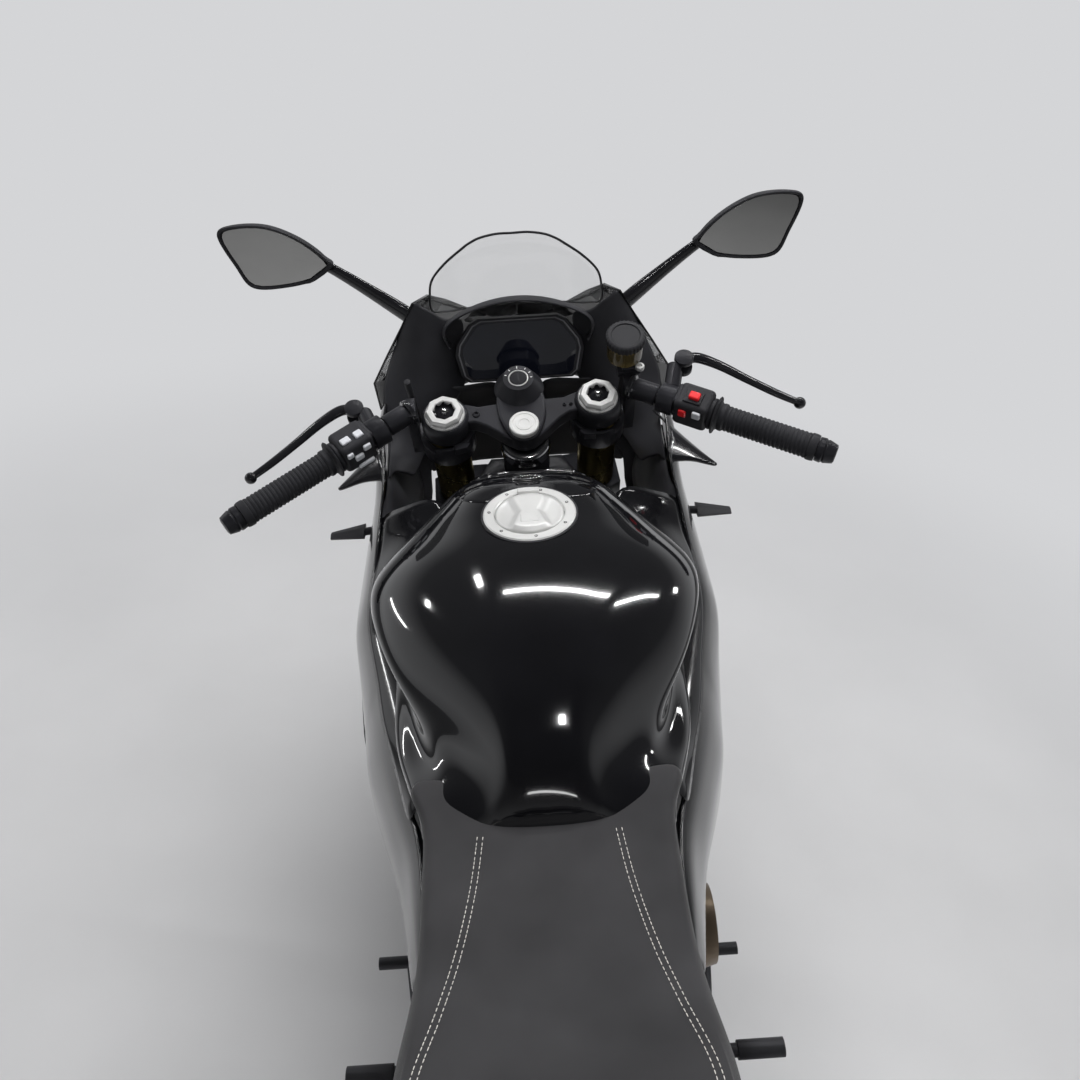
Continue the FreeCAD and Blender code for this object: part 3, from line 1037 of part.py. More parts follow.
# Nose: the upper cowl with its lamp openings, the lamps, the screen and the dash
nose_table = [
    (600, [(152, 1020), (172, 985), (200, 940), (226, 896), (222, 850)]),
    (660, [(134, 1008), (160, 975), (190, 930), (208, 885), (200, 835)]),
    (720, [(112, 975), (138, 945), (160, 905), (170, 862), (158, 812)]),
    (770, [(76, 935), (100, 915), (116, 882), (118, 842), (106, 796)]),
    (815, [(14, 892), (30, 884), (44, 868), (50, 838), (40, 800)]),
]
lamp_outline = [(640, 905), (770, 872), (800, 858), (800, 836), (764, 834), (670, 858)]
for_lamps, noses = [], []
for side in (-1, 1):
    shell = feature(skin(nose_table, val("panel_wall"), side), "nose_skin")
    zone = feature(slab(lamp_outline, *((30, 260) if side > 0 else (-260, -30))), "lamp_zone")
    noses.append((shell, zone))
centre_shell = feature(arch([(770, [(0, 944), (78, 935)]), (812, [(0, 900), (17, 891)])], val("panel_wall")), "nose_top")
front_edge = [(14, 892), (30, 884), (44, 868), (50, 838), (40, 800)]
chin = feature(Part.Face(loop([Vector(x, 811, z) for x, z in front_edge] +
                              [Vector(-x, 811, z) for x, z in front_edge[::-1]])).extrude(Vector(0, 4, 0)), "chin")
node(fused(less(noses[0][0], noses[0][1]), less(noses[1][0], noses[1][1]), centre_shell, chin), "nose_cowl", REST)
lamp_small = [(641, 904.2), (770, 871.6), (799.6, 857.6), (799.6, 836.4), (764, 834.4), (670.6, 858.2)]
for side in (-1, 1):
    shell = feature(skin(nose_table, val("panel_wall"), side), "lamp_skin")
    zone = feature(slab(lamp_small, *((30.4, 260) if side > 0 else (-260, -30.4))), "lens_zone")
    lens = doc.addObject("Part::Common", "lens")
    lens.Base, lens.Tool = shell, zone
    for_lamps.append(lens)
node(group(*for_lamps, tail_lamp), "lamps", REST)
screen_table = [
    (566, [(0, 1124), (24, 1124), (46, 1119), (60, 1112), (70, 1106)]),
    (592, [(0, 1112), (46, 1106), (86, 1088), (110, 1070), (126, 1052)]),
    (640, [(0, 1081), (52, 1074), (94, 1054), (118, 1026), (128, 990)]),
    (700, [(0, 1030), (50, 1022), (88, 1002), (106, 980), (114, 962)]),
    (769.7, [(0, 944), (30, 942.2), (50, 940.4), (62, 938.8), (72, 936.8)]),
]
node(feature(arch(screen_table, val("screen_wall")), "screen_skin"), "windscreen", REST)

dash_outline = [(-67, 92), (67, 92), (97, 50), (86, 0), (-86, 0), (-97, 50)]
dash_shape = Part.Face(loop([Vector(x, 0, z) for x, z in dash_outline])).extrude(Vector(0, 24, 0))
dash = feature(dash_shape, "display_case")
dash.Placement = DISPLAY
hood_outline = [(-101, 86), (-60, 106), (0, 116), (60, 106), (101, 86), (98.5, 55), (68, 92.3), (-68, 92.3),
                (-98.5, 55)]
hood_shape = Part.Face(loop([Vector(x, -10, z) for x, z in hood_outline])).extrude(Vector(0, 40, 0))
hood = feature(hood_shape, "hood")
hood.Placement = DISPLAY
node(group(dash, hood), "display", REST)

# Inner panels close the space between the upper cowl, the dash and the side fairing
def sheet_of(outer, inner, wall):
    """A thick strip between two edges of as many points each, thickened forward."""
    wires = []
    for a, b in zip(outer, inner):
        wires.append(loop([Vector(*a), Vector(*b), Vector(*b) + Vector(0, wall, 0), Vector(*a) + Vector(0, wall, 0)]))
    return Part.makeLoft(wires, True, True)


outer_edge = [(146, 603, 1012), (184, 603, 944), (209.8, 572, 895.8), (201.6, 520, 849.2), (201.8, 440, 825.4)]
inner_edge = [(106, 612, 986), (102, 590, 950), (104, 575, 905), (150, 530, 838), (176, 470, 812)]
# The bulkhead goes on down ahead of the fork's sweep, from the stay under the display out to the fairing
bulkhead_outer = [(205.3, 572, 896.5), (212.9, 588, 840), (206.5, 584, 775), (197.3, 556, 720), (192.3, 524, 685)]
bulkhead_inner = [(36, 574, 897), (36, 602, 842), (140, 592, 775), (152, 562, 720), (168, 528, 685)]
linings = []
for side in (-1, 1):
    strips = [sheet_of(outer_edge, inner_edge, val("panel_wall")),
              sheet_of(bulkhead_outer, bulkhead_inner, val("panel_wall"))]
    linings.append(fused(*[feature(strip if side > 0 else mirrored(strip), "lining") for strip in strips]))
node(group(*linings), "inner_panels", REST)

# Mirrors on slim arms, with their glasses
mirror_outline = [(262, 1066), (296, 1104), (346, 1130), (398, 1133), (417, 1121), (402, 1076), (383, 1042),
                  (330, 1040), (282, 1050)]


def plate_xz(outline, y, scale, depth, end):
    """A plate whose (x, z) outline, scaled about its middle, faces backward; it ends smaller in front."""
    cx = sum(x for x, _ in outline) / len(outline)
    cz = sum(z for _, z in outline) / len(outline)
    wires = [loop([Vector(cx + (x - cx) * k, y + d, cz + (z - cz) * k) for x, z in outline])
             for k, d in ((scale, 0), (end, depth))]
    return Part.makeLoft(wires, True, True)


mirrors, glasses = [], []
for side in (-1, 1):
    head = plate_xz(mirror_outline, 640, 1, 30, 0.55)
    recess = plate_xz(mirror_outline, 630, 0.92, 15, 0.92)
    root, reach = Vector(163, 616, 998), Vector(137, 50, 78)
    arm = Part.makeCone(11, 6.5, reach.Length, root, reach)
    foot = Part.makeCylinder(10, 12, Vector(162, 616, 995), Vector(0.8, 0.2, 0.5))
    parts_here = [feature(piece if side > 0 else mirrored(piece)) for piece in (head.cut(recess), arm, foot)]
    nose_room = feature(skin(nose_table, val("panel_wall") + 40, side), "nose_room")
    mirrors.append(less(fused(*parts_here), nose_room))
    glass = plate_xz(mirror_outline, 642.7, 0.9, 2, 0.9)
    glasses.append(feature(glass if side > 0 else mirrored(glass), "glass"))
node(group(*mirrors), "mirrors", REST)
node(group(*glasses), "mirror_glasses", REST)

# Turn signals, on the fairing and on the plate's hanger
for side in (-1, 1):
    stem = Part.makeCylinder(6, 40, Vector(226, 452, 728.4), Vector(1, 0, -0.1))
    ends = [loop([Vector(x, 452 + y * size, z + h * size) for y, h in ((-17, 2), (0, 8), (17, 3), (12, -6), (-12, -5))])
            for x, z, size in ((250, 726, 1), (302, 721, 0.5))]
    shell = Part.makeLoft(ends, True, True)
    trimmed = stem.fuse(shell).cut(skin(side_table, 40, 1))
    lamps.append(feature(trimmed if side > 0 else mirrored(trimmed), "signal"))
node(group(*lamps), "indicators", REST)


# The row frame: the middle of the whole part's box at the origin, its lowest point on the floor
doc.recompute()
for made in doc.Objects:
    if "Invalid" in made.State or "Error" in made.State:
        raise RuntimeError(f"{made.Name} ({made.Label}) didn't build")
low_corner, high_corner = Vector(1e9, 1e9, 1e9), Vector(-1e9, -1e9, -1e9)
for made in nodes:
    if made.Shape.isNull() or not made.Shape.isValid():
        raise RuntimeError(f"{made.Label} is null or not valid")
    box = made.Shape.optimalBoundingBox(False, False)
    low_corner = Vector(min(low_corner.x, box.XMin), min(low_corner.y, box.YMin), min(low_corner.z, box.ZMin))
    high_corner = Vector(max(high_corner.x, box.XMax), max(high_corner.y, box.YMax), max(high_corner.z, box.ZMax))
SHIFT = Vector(-(low_corner.x + high_corner.x) / 2, -(low_corner.y + high_corner.y) / 2, -low_corner.z)
for made in nodes:
    made.Placement = Placement(SHIFT, Rotation()).multiply(made.Placement)
doc.recompute()
for made in nodes:
    made.Shape.exportStep(f"parts/{made.Label}.step")


def row(place, point):
    return [round(v, 4) for v in place.multVec(point) + SHIFT]


def row_axis(place, direction):
    return [round(v, 6) for v in place.Rotation.multVec(direction)]


print("size", [round(v, 3) for v in high_corner - low_corner], "shift", [round(v, 4) for v in SHIFT])
print("steering", row(REST, AXIS_FOOT + AXIS_UP * 900), row_axis(REST, AXIS_UP))
print("front_wheel_spin", row(TURNED, FRONT_AXLE), row_axis(TURNED, Vector(-1, 0, 0)))
print("rear_wheel_spin", row(REST, REAR_AXLE), row_axis(REST, Vector(-1, 0, 0)))
print("side_stand_hinge", row(REST, STAND_PIVOT), row_axis(REST, STAND_AXIS))
print("fuel_cap_hinge", row(REST, HINGE), row_axis(REST, Vector(-1, 0, 0)))
print("number_plate", row(REST, Vector(0, -1034, 640)), row_axis(REST, Vector(0, -1, 0)))
for side, name in ((-1, "left"), (1, "right")):
    end = REAR_AXLE + Vector(side * (val("axle_reach") - val("axle_end_length") / 2), 0, 0)
    print(f"axle_end_{name}", row(REST, end), row_axis(REST, Vector(side, 0, 0)))
print("stand_foot", [round(v, 4) for v in Vector(val("stand_foot_x"), val("stand_foot_y"), 0) + SHIFT], [0, 0, -1])
print("pieces", len(nodes), "solids", sum(len(made.Shape.Solids) for made in nodes))
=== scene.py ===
"""Sport bike on its side stand: the finish of every surface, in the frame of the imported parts.

Two frames are used, both in mm. BIKE has +X to the rider's right, +Y forward and +Z up on the upright bike,
with its origin on the ground midway between the axles. FORK turns with the bars: +X right, +Y forward of the
steering axis, +Z up that axis, with its origin where the axis meets the ground. Each is a matrix to the row
frame in metres.
"""
import json
import math

import bmesh
import bpy
from mathutils import Matrix, Vector
from mathutils.bvhtree import BVHTree

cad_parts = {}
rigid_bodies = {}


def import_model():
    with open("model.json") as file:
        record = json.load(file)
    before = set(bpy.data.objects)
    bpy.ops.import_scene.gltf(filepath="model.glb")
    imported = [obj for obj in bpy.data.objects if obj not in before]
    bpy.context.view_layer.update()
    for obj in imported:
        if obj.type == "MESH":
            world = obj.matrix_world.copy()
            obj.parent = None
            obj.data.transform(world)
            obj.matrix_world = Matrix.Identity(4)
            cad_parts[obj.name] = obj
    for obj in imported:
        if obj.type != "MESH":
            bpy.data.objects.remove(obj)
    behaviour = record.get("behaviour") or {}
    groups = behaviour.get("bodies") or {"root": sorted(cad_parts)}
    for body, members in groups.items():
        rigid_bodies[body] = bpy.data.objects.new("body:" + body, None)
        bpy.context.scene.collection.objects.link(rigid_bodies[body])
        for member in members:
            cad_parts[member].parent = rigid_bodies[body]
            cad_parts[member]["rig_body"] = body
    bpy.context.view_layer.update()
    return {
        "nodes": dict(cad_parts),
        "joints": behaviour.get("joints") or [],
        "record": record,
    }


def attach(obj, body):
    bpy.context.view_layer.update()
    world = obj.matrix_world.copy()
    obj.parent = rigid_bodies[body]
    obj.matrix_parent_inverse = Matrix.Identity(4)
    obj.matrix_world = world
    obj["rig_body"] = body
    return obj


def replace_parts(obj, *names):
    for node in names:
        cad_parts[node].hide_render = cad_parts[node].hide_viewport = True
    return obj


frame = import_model()
NODES = frame["nodes"]
JOINTS = {joint["name"]: joint for joint in frame["joints"]}
SLOT_OF_NODE = {item["node"]: item["material_slot"] for item in frame["record"]["subparts"]}

MM = 0.001
RAKE = math.radians(24)
REAR_AXLE = Vector((0, -705, 315))
STEER_POINT_HEIGHT = 900
FORK_OFFSET, FORK_SPREAD = 34, 104
SIDES = ((-1, "left"), (1, "right"))


def joint_line(name):
    """A joint's point in metres and its direction, both in the row frame."""
    return Vector(JOINTS[name]["pos_m"]), Vector(JOINTS[name]["axis"]).normalized()


def frame_from(x_axis, y_axis, z_axis, origin):
    """The matrix that carries mm along three directions from an origin to metres in the row frame."""
    turn = Matrix((x_axis, y_axis, z_axis)).transposed()
    return Matrix.Translation(origin) @ turn.to_4x4() @ Matrix.Scale(MM, 4)


def bike_frame():
    point, left = joint_line("rear_wheel_spin")
    _, up = joint_line("steering")
    right = -left
    ahead = up.cross(right).normalized()
    forward = ahead * math.cos(RAKE) - up * math.sin(RAKE)
    upward = ahead * math.sin(RAKE) + up * math.cos(RAKE)
    origin = point - (forward * REAR_AXLE.y + upward * REAR_AXLE.z) * MM
    return frame_from(right, forward, upward, origin)


def fork_frame():
    point, up = joint_line("steering")
    _, left = joint_line("front_wheel_spin")
    right = -left
    return frame_from(right, up.cross(right).normalized(), up, point - up * STEER_POINT_HEIGHT * MM)


BIKE = bike_frame()
FORK = fork_frame()
AXLE_HEIGHT = (FORK.inverted() @ joint_line("front_wheel_spin")[0]).z
GROUND = Vector((BIKE.translation.x, BIKE.translation.y, 0))


# Materials
def join(tree, made, inputs):
    """Gives each input its value or, where that is another node's output, a link from it."""
    for socket, value in inputs.items():
        if isinstance(value, bpy.types.NodeSocket):
            tree.links.new(value, made.inputs[socket])
        else:
            made.inputs[socket].default_value = value


def add(tree, kind, inputs=None, **settings):
    made = tree.nodes.new("ShaderNode" + kind)
    for name, value in settings.items():
        setattr(made, name, value)
    join(tree, made, inputs or {})
    return made


def ramp(tree, source, steps):
    """A colour from a number, through (place, colour) steps."""
    made = add(tree, "ValToRGB", {"Fac": source})
    marks = made.color_ramp.elements
    for place, _ in steps[1:-1]:
        marks.new(place)
    for mark, (place, color) in zip(marks, steps):
        mark.color = (*color, 1)
        mark.position = place
    return made.outputs["Color"]


def noise(tree, scale, detail=4.0, stretch=(1, 1, 1)):
    """Noise in the piece's own coordinates."""
    place = add(tree, "Mapping", {"Scale": stretch, "Vector": add(tree, "TexCoord").outputs["Object"]})
    made = add(tree, "TexNoise", {"Scale": scale, "Detail": detail, "Vector": place.outputs["Vector"]})
    return made.outputs["Fac"]


def spread(tree, source, low, high):
    """A number between low and high from a texture's 0 to 1."""
    return add(tree, "MapRange", {"To Min": low, "To Max": high, "Value": source}).outputs["Result"]


def roughen(made, scale, strength, depth, detail=3.0, stretch=(1, 1, 1)):
    """A fine bump on a finish; its depth is in m."""
    tree = made.node_tree
    height = noise(tree, scale, detail, stretch)
    lumps = add(tree, "Bump", {"Strength": strength, "Distance": depth, "Height": height})
    join(tree, tree.nodes["Principled BSDF"], {"Normal": lumps.outputs["Normal"]})


def material(name, color, roughness, metallic=0.0, vary=0.25, grain=None, rough_vary=0.08, vary_scale=18,
             **sockets):
    """A surface with slow colour and gloss variation; grain=(scale, strength, depth in m) adds a bump."""
    made = bpy.data.materials.new(name)
    made.use_nodes = True
    tree = made.node_tree
    slow = noise(tree, vary_scale)
    tints = [(place, [min(c * share, 1) for c in color])
             for place, share in ((0.3, 1 - vary), (0.7, 1 + vary))]
    rough = spread(tree, slow, max(roughness - rough_vary, 0.01), min(roughness + rough_vary, 1))
    more = {key.replace("_", " ").title().replace("Ior", "IOR"): value for key, value in sockets.items()}
    join(tree, tree.nodes["Principled BSDF"],
         {"Metallic": metallic, "Base Color": ramp(tree, slow, tints), "Roughness": rough, **more})
    if grain:
        roughen(made, *grain)
    return made


def brushed(name, color, roughness):
    """Metal with fine machining lines."""
    made = material(name, color, roughness, metallic=1.0, vary=0.12)
    roughen(made, 40, 0.12, 0.0004, 2.0, (1, 1, 60))
    return made


GLOSS = material("gloss_paint", (0.0045, 0.0045, 0.0055), 0.09, rough_vary=0.03, vary_scale=9,
                 coat_weight=1.0, coat_roughness=0.02, coat_ior=1.6)
PANEL = material("gloss_panel", (0.006, 0.006, 0.007), 0.14, rough_vary=0.04, vary_scale=12,
                 coat_weight=0.6, coat_roughness=0.05)
MATTE = material("matte_black", (0.018, 0.018, 0.021), 0.55, grain=(1800, 0.35, 0.0003))
LINER = material("liner_black", (0.03, 0.03, 0.034), 0.6, grain=(1400, 0.3, 0.0003))
SATIN = material("satin_alloy", (0.022, 0.022, 0.026), 0.38, metallic=0.35, grain=(2600, 0.22, 0.0002))
SATIN_STEEL = material("satin_steel", (0.02, 0.02, 0.022), 0.34, grain=(1500, 0.15, 0.0002), coat_weight=0.3)
GLOSS_ALLOY = material("gloss_alloy", (0.012, 0.012, 0.014), 0.16, metallic=0.2, coat_weight=0.8)
CASTING = material("dark_casting", (0.055, 0.055, 0.06), 0.5, metallic=0.7, grain=(900, 0.45, 0.0005))
BRONZE = material("bronze_cover", (0.20, 0.155, 0.11), 0.36, metallic=0.85, grain=(1500, 0.2, 0.0003))
GOLD = brushed("gold_alloy", (0.30, 0.24, 0.09), 0.28)
STEEL = brushed("steel", (0.5, 0.5, 0.51), 0.3)
DARK_STEEL = material("dark_steel", (0.04, 0.04, 0.045), 0.32, metallic=0.8)
POLISHED = material("polished", (0.78, 0.78, 0.79), 0.16, metallic=1.0, vary=0.05, rough_vary=0.05)
FROSTED = material("polished_satin", (0.74, 0.74, 0.73), 0.4, metallic=0.6, vary=0.05,
                   grain=(2500, 0.1, 0.0001))
GRIP = material("grip_rubber", (0.02, 0.02, 0.023), 0.62, grain=(1600, 0.4, 0.0004))
TYRE = material("tyre_rubber", (0.02, 0.02, 0.021), 0.72, grain=(700, 0.5, 0.0006))
AMBER = material("amber_plastic", (0.10, 0.075, 0.03), 0.12, vary=0.3, transmission_weight=0.35, ior=1.45)
PLATE_WHITE = material("plate_white", (0.75, 0.75, 0.73), 0.35, vary=0.04)
KEY_GREY = material("key_grey", (0.52, 0.53, 0.56), 0.4, vary=0.06)
KEY_RED = material("key_red", (0.72, 0.02, 0.025), 0.32, vary=0.08, coat_weight=0.4)
MARK_WHITE = material("mark_white", (0.7, 0.7, 0.7), 0.5, vary=0.04)
DISPLAY_GLASS = material("display_glass", (0.006, 0.007, 0.012), 0.06, rough_vary=0.02, coat_weight=1.0)
BEZEL = material("bezel_grey", (0.12, 0.12, 0.13), 0.4, vary=0.08)
CLEAR_LENS = material("lens", (0.75, 0.77, 0.8), 0.08, vary=0.05, alpha=0.35, coat_weight=1.0)
MIRROR_GLASS = material("mirror_glass", (0.46, 0.46, 0.45), 0.04, metallic=1.0, vary=0.03, rough_vary=0.02)
SCREEN = material("screen", (0.8, 0.82, 0.82), 0.03, vary=0.02, rough_vary=0.01, alpha=0.1, ior=1.49)
THREAD = material("thread", (0.62, 0.6, 0.56), 0.7, vary=0.1)
# Charcoal suede: a soft nap with brushed patches and a fine tooth
SUEDE = material("seat_fabric", (0.034, 0.0335, 0.0355), 0.86, vary=0.2, rough_vary=0.05, vary_scale=14,
                 grain=(2600, 0.5, 0.0004), sheen_weight=0.12, sheen_roughness=0.45)


# Mesh building
def new_piece(name, points, faces, body, surface, where=BIKE):
    """A smooth-shaded piece that rides on a body; its points are mm in the given frame."""
    mesh = bpy.data.meshes.new(name)
    mesh.from_pydata([where @ Vector(p) for p in points], [], faces)
    work = bmesh.new()
    work.from_mesh(mesh)
    bmesh.ops.recalc_face_normals(work, faces=work.faces)
    work.to_mesh(mesh)
    work.free()
    mesh.materials.append(surface)
    mesh.polygons.foreach_set("use_smooth", [True] * len(mesh.polygons))
    piece = bpy.data.objects.new(name, mesh)
    bpy.context.scene.collection.objects.link(piece)
    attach(piece, body)
    return piece


def grid_faces(rows, columns, wrap_rows=False, wrap_columns=False):
    faces = []
    for i in range(rows if wrap_rows else rows - 1):
        for j in range(columns if wrap_columns else columns - 1):
            a, b = i * columns + j, i * columns + (j + 1) % columns
            c, d = ((i + 1) % rows) * columns + (j + 1) % columns, ((i + 1) % rows) * columns + j
            faces.append((a, b, c, d))
    return faces


def subdivided(piece, levels):
    made = piece.modifiers.new("smooth", "SUBSURF")
    made.levels = made.render_levels = levels


def thickened(piece, wall):
    """Gives a sheet its wall, inward from the modelled face."""
    made = piece.modifiers.new("wall", "SOLIDIFY")
    made.thickness = wall * MM
    made.offset = -1


def softened(piece, width, segments, angle):
    """Rounds the edges that are sharper than an angle."""
    made = piece.modifiers.new("edges", "BEVEL")
    made.width = width * MM
    made.segments = segments
    made.limit_method = "ANGLE"
    made.angle_limit = math.radians(angle)
    made.harden_normals = True


def bevelled(piece, width, segments=3, angle=30):
    softened(piece, width, segments, angle)
    piece.data.set_sharp_from_angle(angle=math.radians(angle))


def settle(piece, rounds=3):
    """Moves a cage so that its smooth surface passes through the cage's first points."""
    goals = [v.co.copy() for v in piece.data.vertices]
    for _ in range(rounds):
        bpy.context.view_layer.update()
        smooth = piece.evaluated_get(bpy.context.evaluated_depsgraph_get()).data
        for vertex, goal in zip(piece.data.vertices, goals):
            vertex.co += (goal - smooth.vertices[vertex.index].co) * 0.9
        piece.data.update()


def sheet(name, rows, surface, wall=3, levels=2, where=BIKE, side=1, settled=True):
    """A smooth shell on the chassis through rows of points; side -1 mirrors it."""
    points = [flip(p, side) for row in rows for p in row]
    piece = new_piece(name, points, grid_faces(len(rows), len(rows[0])), "chassis", surface, where)
    subdivided(piece, levels)
    if settled:
        settle(piece)
    thickened(piece, wall)
    return piece


def closed_loft(name, rings, surface, levels=2, cap=True):
    """A smooth closed form on the chassis through rings of points."""
    columns = len(rings[0])
    faces = grid_faces(len(rings), columns, wrap_columns=True)
    if cap:
        last = (len(rings) - 1) * columns
        faces += [tuple(range(columns - 1, -1, -1)), tuple(range(last, last + columns))]
    piece = new_piece(name, [p for ring in rings for p in ring], faces, "chassis", surface)
    subdivided(piece, levels)
    settle(piece)
    return piece


def flip(point, side):
    """A point, or its mirror image on the left where side is -1."""
    return (side * point[0], *point[1:])


def two_sided(half):
    """A closed ring from the right half's points, first and last on the middle line."""
    return list(half) + [flip(p, -1) for p in half[-2:0:-1]]


def sections(table):
    """A ring of points for each (y, [(x, z), ...]) row of a table."""
    return [two_sided([(x, y, z) for x, z in half]) for y, half in table]


def whole_rows(table):
    """A row of points from left to right for each (y, [(x, z), ...]) row of a table."""
    return [[(-x, y, z) for x, z in half[:0:-1]] + [(x, y, z) for x, z in half] for y, half in table]


def turned(direction, at):
    """A matrix whose +Z runs along a direction from a point."""
    up = Vector(direction).normalized()
    side = up.cross(Vector((0, 0, 1)))
    if side.length < 1e-3:
        side = up.cross(Vector((0, 1, 0)))
    side.normalize()
    return Matrix.Translation(at) @ Matrix((side, up.cross(side), up)).transposed().to_4x4()


def lathe(name, profile, at, surface, body="chassis", where=BIKE, direction=(0, 0, 1), count=48,
          closed=False):
    """A turned piece: profile is (radius, distance along the direction) pairs; a low count makes a prism."""
    place = turned(direction, at)
    points, rows = [], len(profile)
    for radius, along in profile:
        for k in range(count):
            turn = 2 * math.pi * k / count
            points.append(place @ Vector((radius * math.cos(turn), radius * math.sin(turn), along)))
    faces = grid_faces(rows, count, wrap_rows=closed, wrap_columns=True)
    if not closed:
        faces += [tuple(range(count)), tuple(range((rows - 1) * count, rows * count))]
    piece = new_piece(name, points, faces, body, surface, where)
    piece.data.set_sharp_from_angle(angle=math.radians(35))
    return piece


def fork_lathe(name, profile, at, surface, **shape):
    """A turned piece of the steering in the fork's frame, upright unless a direction is given."""
    return lathe(name, profile, at, surface, "steering", FORK, **shape)


def spline(points, steps):
    """Points along a smooth line through the given ones."""
    points = [Vector(p) for p in points]
    ends = [points[0] * 2 - points[1]] + points + [points[-1] * 2 - points[-2]]
    line = []
    for i in range(1, len(ends) - 2):
        before, start, end, after = ends[i - 1:i + 3]
        for k in range(steps):
            t = k / steps
            line.append(0.5 * (2 * start + (end - before) * t
                               + (2 * before - 5 * start + 4 * end - after) * t**2
                               + (3 * start - before - 3 * end + after) * t**3))
    return line + [points[-1]]


def sweep(name, route, radii, surface, body="chassis", where=BIKE, flat=1.0, count=16, steps=8, up=(0, 0, 1)):
    """A bar along a smooth route; radii are given at its points, and flat squeezes it along up."""
    line = spline(route, steps)
    sizes = spline([(r, 0, 0) for r in radii], steps)
    points = []
    for i, here in enumerate(line):
        run = (line[min(i + 1, len(line) - 1)] - line[max(i - 1, 0)]).normalized()
        side = run.cross(Vector(up)).normalized()
        over = side.cross(run)
        for k in range(count):
            turn = 2 * math.pi * k / count
            points.append(here + side * math.cos(turn) * sizes[i].x
                          + over * math.sin(turn) * sizes[i].x * flat)
    faces = grid_faces(len(line), count, wrap_columns=True)
    faces += [tuple(range(count)), tuple(range((len(line) - 1) * count, len(line) * count))]
    piece = new_piece(name, points, faces, body, surface, where)
    piece.data.set_sharp_from_angle(angle=math.radians(50))
    return piece


def plate(name, outline, low, high, surface, body="chassis", where=BIKE, edge=2, across="z"):
    """An outline pushed from low to high along z or y, with rounded edges."""
    count = len(outline)
    points = [(a, b, t) if across == "z" else (a, t, b) for t in (low, high) for a, b in outline]
    faces = grid_faces(2, count, wrap_columns=True) + [tuple(range(count)), tuple(range(count, 2 * count))]
    piece = new_piece(name, points, faces, body, surface, where)
    bevelled(piece, edge)
    return piece


def brick(name, centre, size, surface, body, where=BIKE, turn=None, edge=2):
    """A block with rounded edges; turn is a direction for its long x side."""
    half = [s / 2 for s in size]
    corners = [(a, b, c) for c in (-1, 1) for a, b in ((-1, -1), (1, -1), (1, 1), (-1, 1))]
    spin = Vector((1, 0, 0)).rotation_difference(Vector(turn)).to_matrix() if turn else Matrix.Identity(3)
    points = [Vector(centre) + spin @ Vector((a * half[0], b * half[1], c * half[2])) for a, b, c in corners]
    faces = [(0, 1, 2, 3), (4, 5, 6, 7), (0, 1, 5, 4), (1, 2, 6, 5), (2, 3, 7, 6), (3, 0, 4, 7)]
    piece = new_piece(name, points, faces, body, surface, where)
    bevelled(piece, edge)
    return piece


def joined(name, *pieces):
    """Several pieces of one body made into one mesh object, modifiers applied; the first sets its slot."""
    depsgraph = bpy.context.evaluated_depsgraph_get()
    bpy.context.view_layer.update()
    work = bmesh.new()
    surfaces = []
    for piece in pieces:
        mesh = bpy.data.meshes.new_from_object(piece.evaluated_get(depsgraph), depsgraph=depsgraph)
        slots = []
        for surface in mesh.materials:
            if surface not in surfaces:
                surfaces.append(surface)
            slots.append(surfaces.index(surface))
        for polygon in mesh.polygons:
            polygon.material_index = slots[polygon.material_index] if slots else 0
        work.from_mesh(mesh)
        bpy.data.meshes.remove(mesh)
    whole = bpy.data.meshes.new(name)
    work.to_mesh(whole)
    work.free()
    for surface in surfaces:
        whole.materials.append(surface)
    made = bpy.data.objects.new(name, whole)
    bpy.context.scene.collection.objects.link(made)
    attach(made, pieces[0]["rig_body"])
    for piece in pieces:
        bpy.data.objects.remove(piece)
    return made


# Carried-over solids: finish, softened edges
SURFACE = {
    "satin_alloy": SATIN, "satin_steel": SATIN_STEEL, "dark_casting": CASTING, "bronze_cover": BRONZE,
    "steel": STEEL, "gloss_paint": GLOSS, "polished": FROSTED, "seat_fabric": SUEDE, "gloss_panel": PANEL,
    "matte_black": MATTE, "plate_white": PLATE_WHITE, "dark_steel": DARK_STEEL, "lens": CLEAR_LENS,
    "screen": SCREEN, "mirror_glass": MIRROR_GLASS, "gold_alloy": GOLD, "gloss_alloy": GLOSS_ALLOY,
    "grip_rubber": GRIP, "amber_plastic": AMBER, "tyre_rubber": TYRE}


def dress(name, edge):
    """A solid keeps its shape and gets its finish, with its edges softened."""
    solid = NODES[name]
    surface = SURFACE[SLOT_OF_NODE[name]]
    solid.data.materials.clear()
    solid.data.materials.append(surface)
    solid.data.polygons.foreach_set("use_smooth", [True] * len(solid.data.polygons))
    weld = solid.modifiers.new("weld", "WELD")
    weld.merge_threshold = 2e-5
    softened(solid, edge, 2, 40)


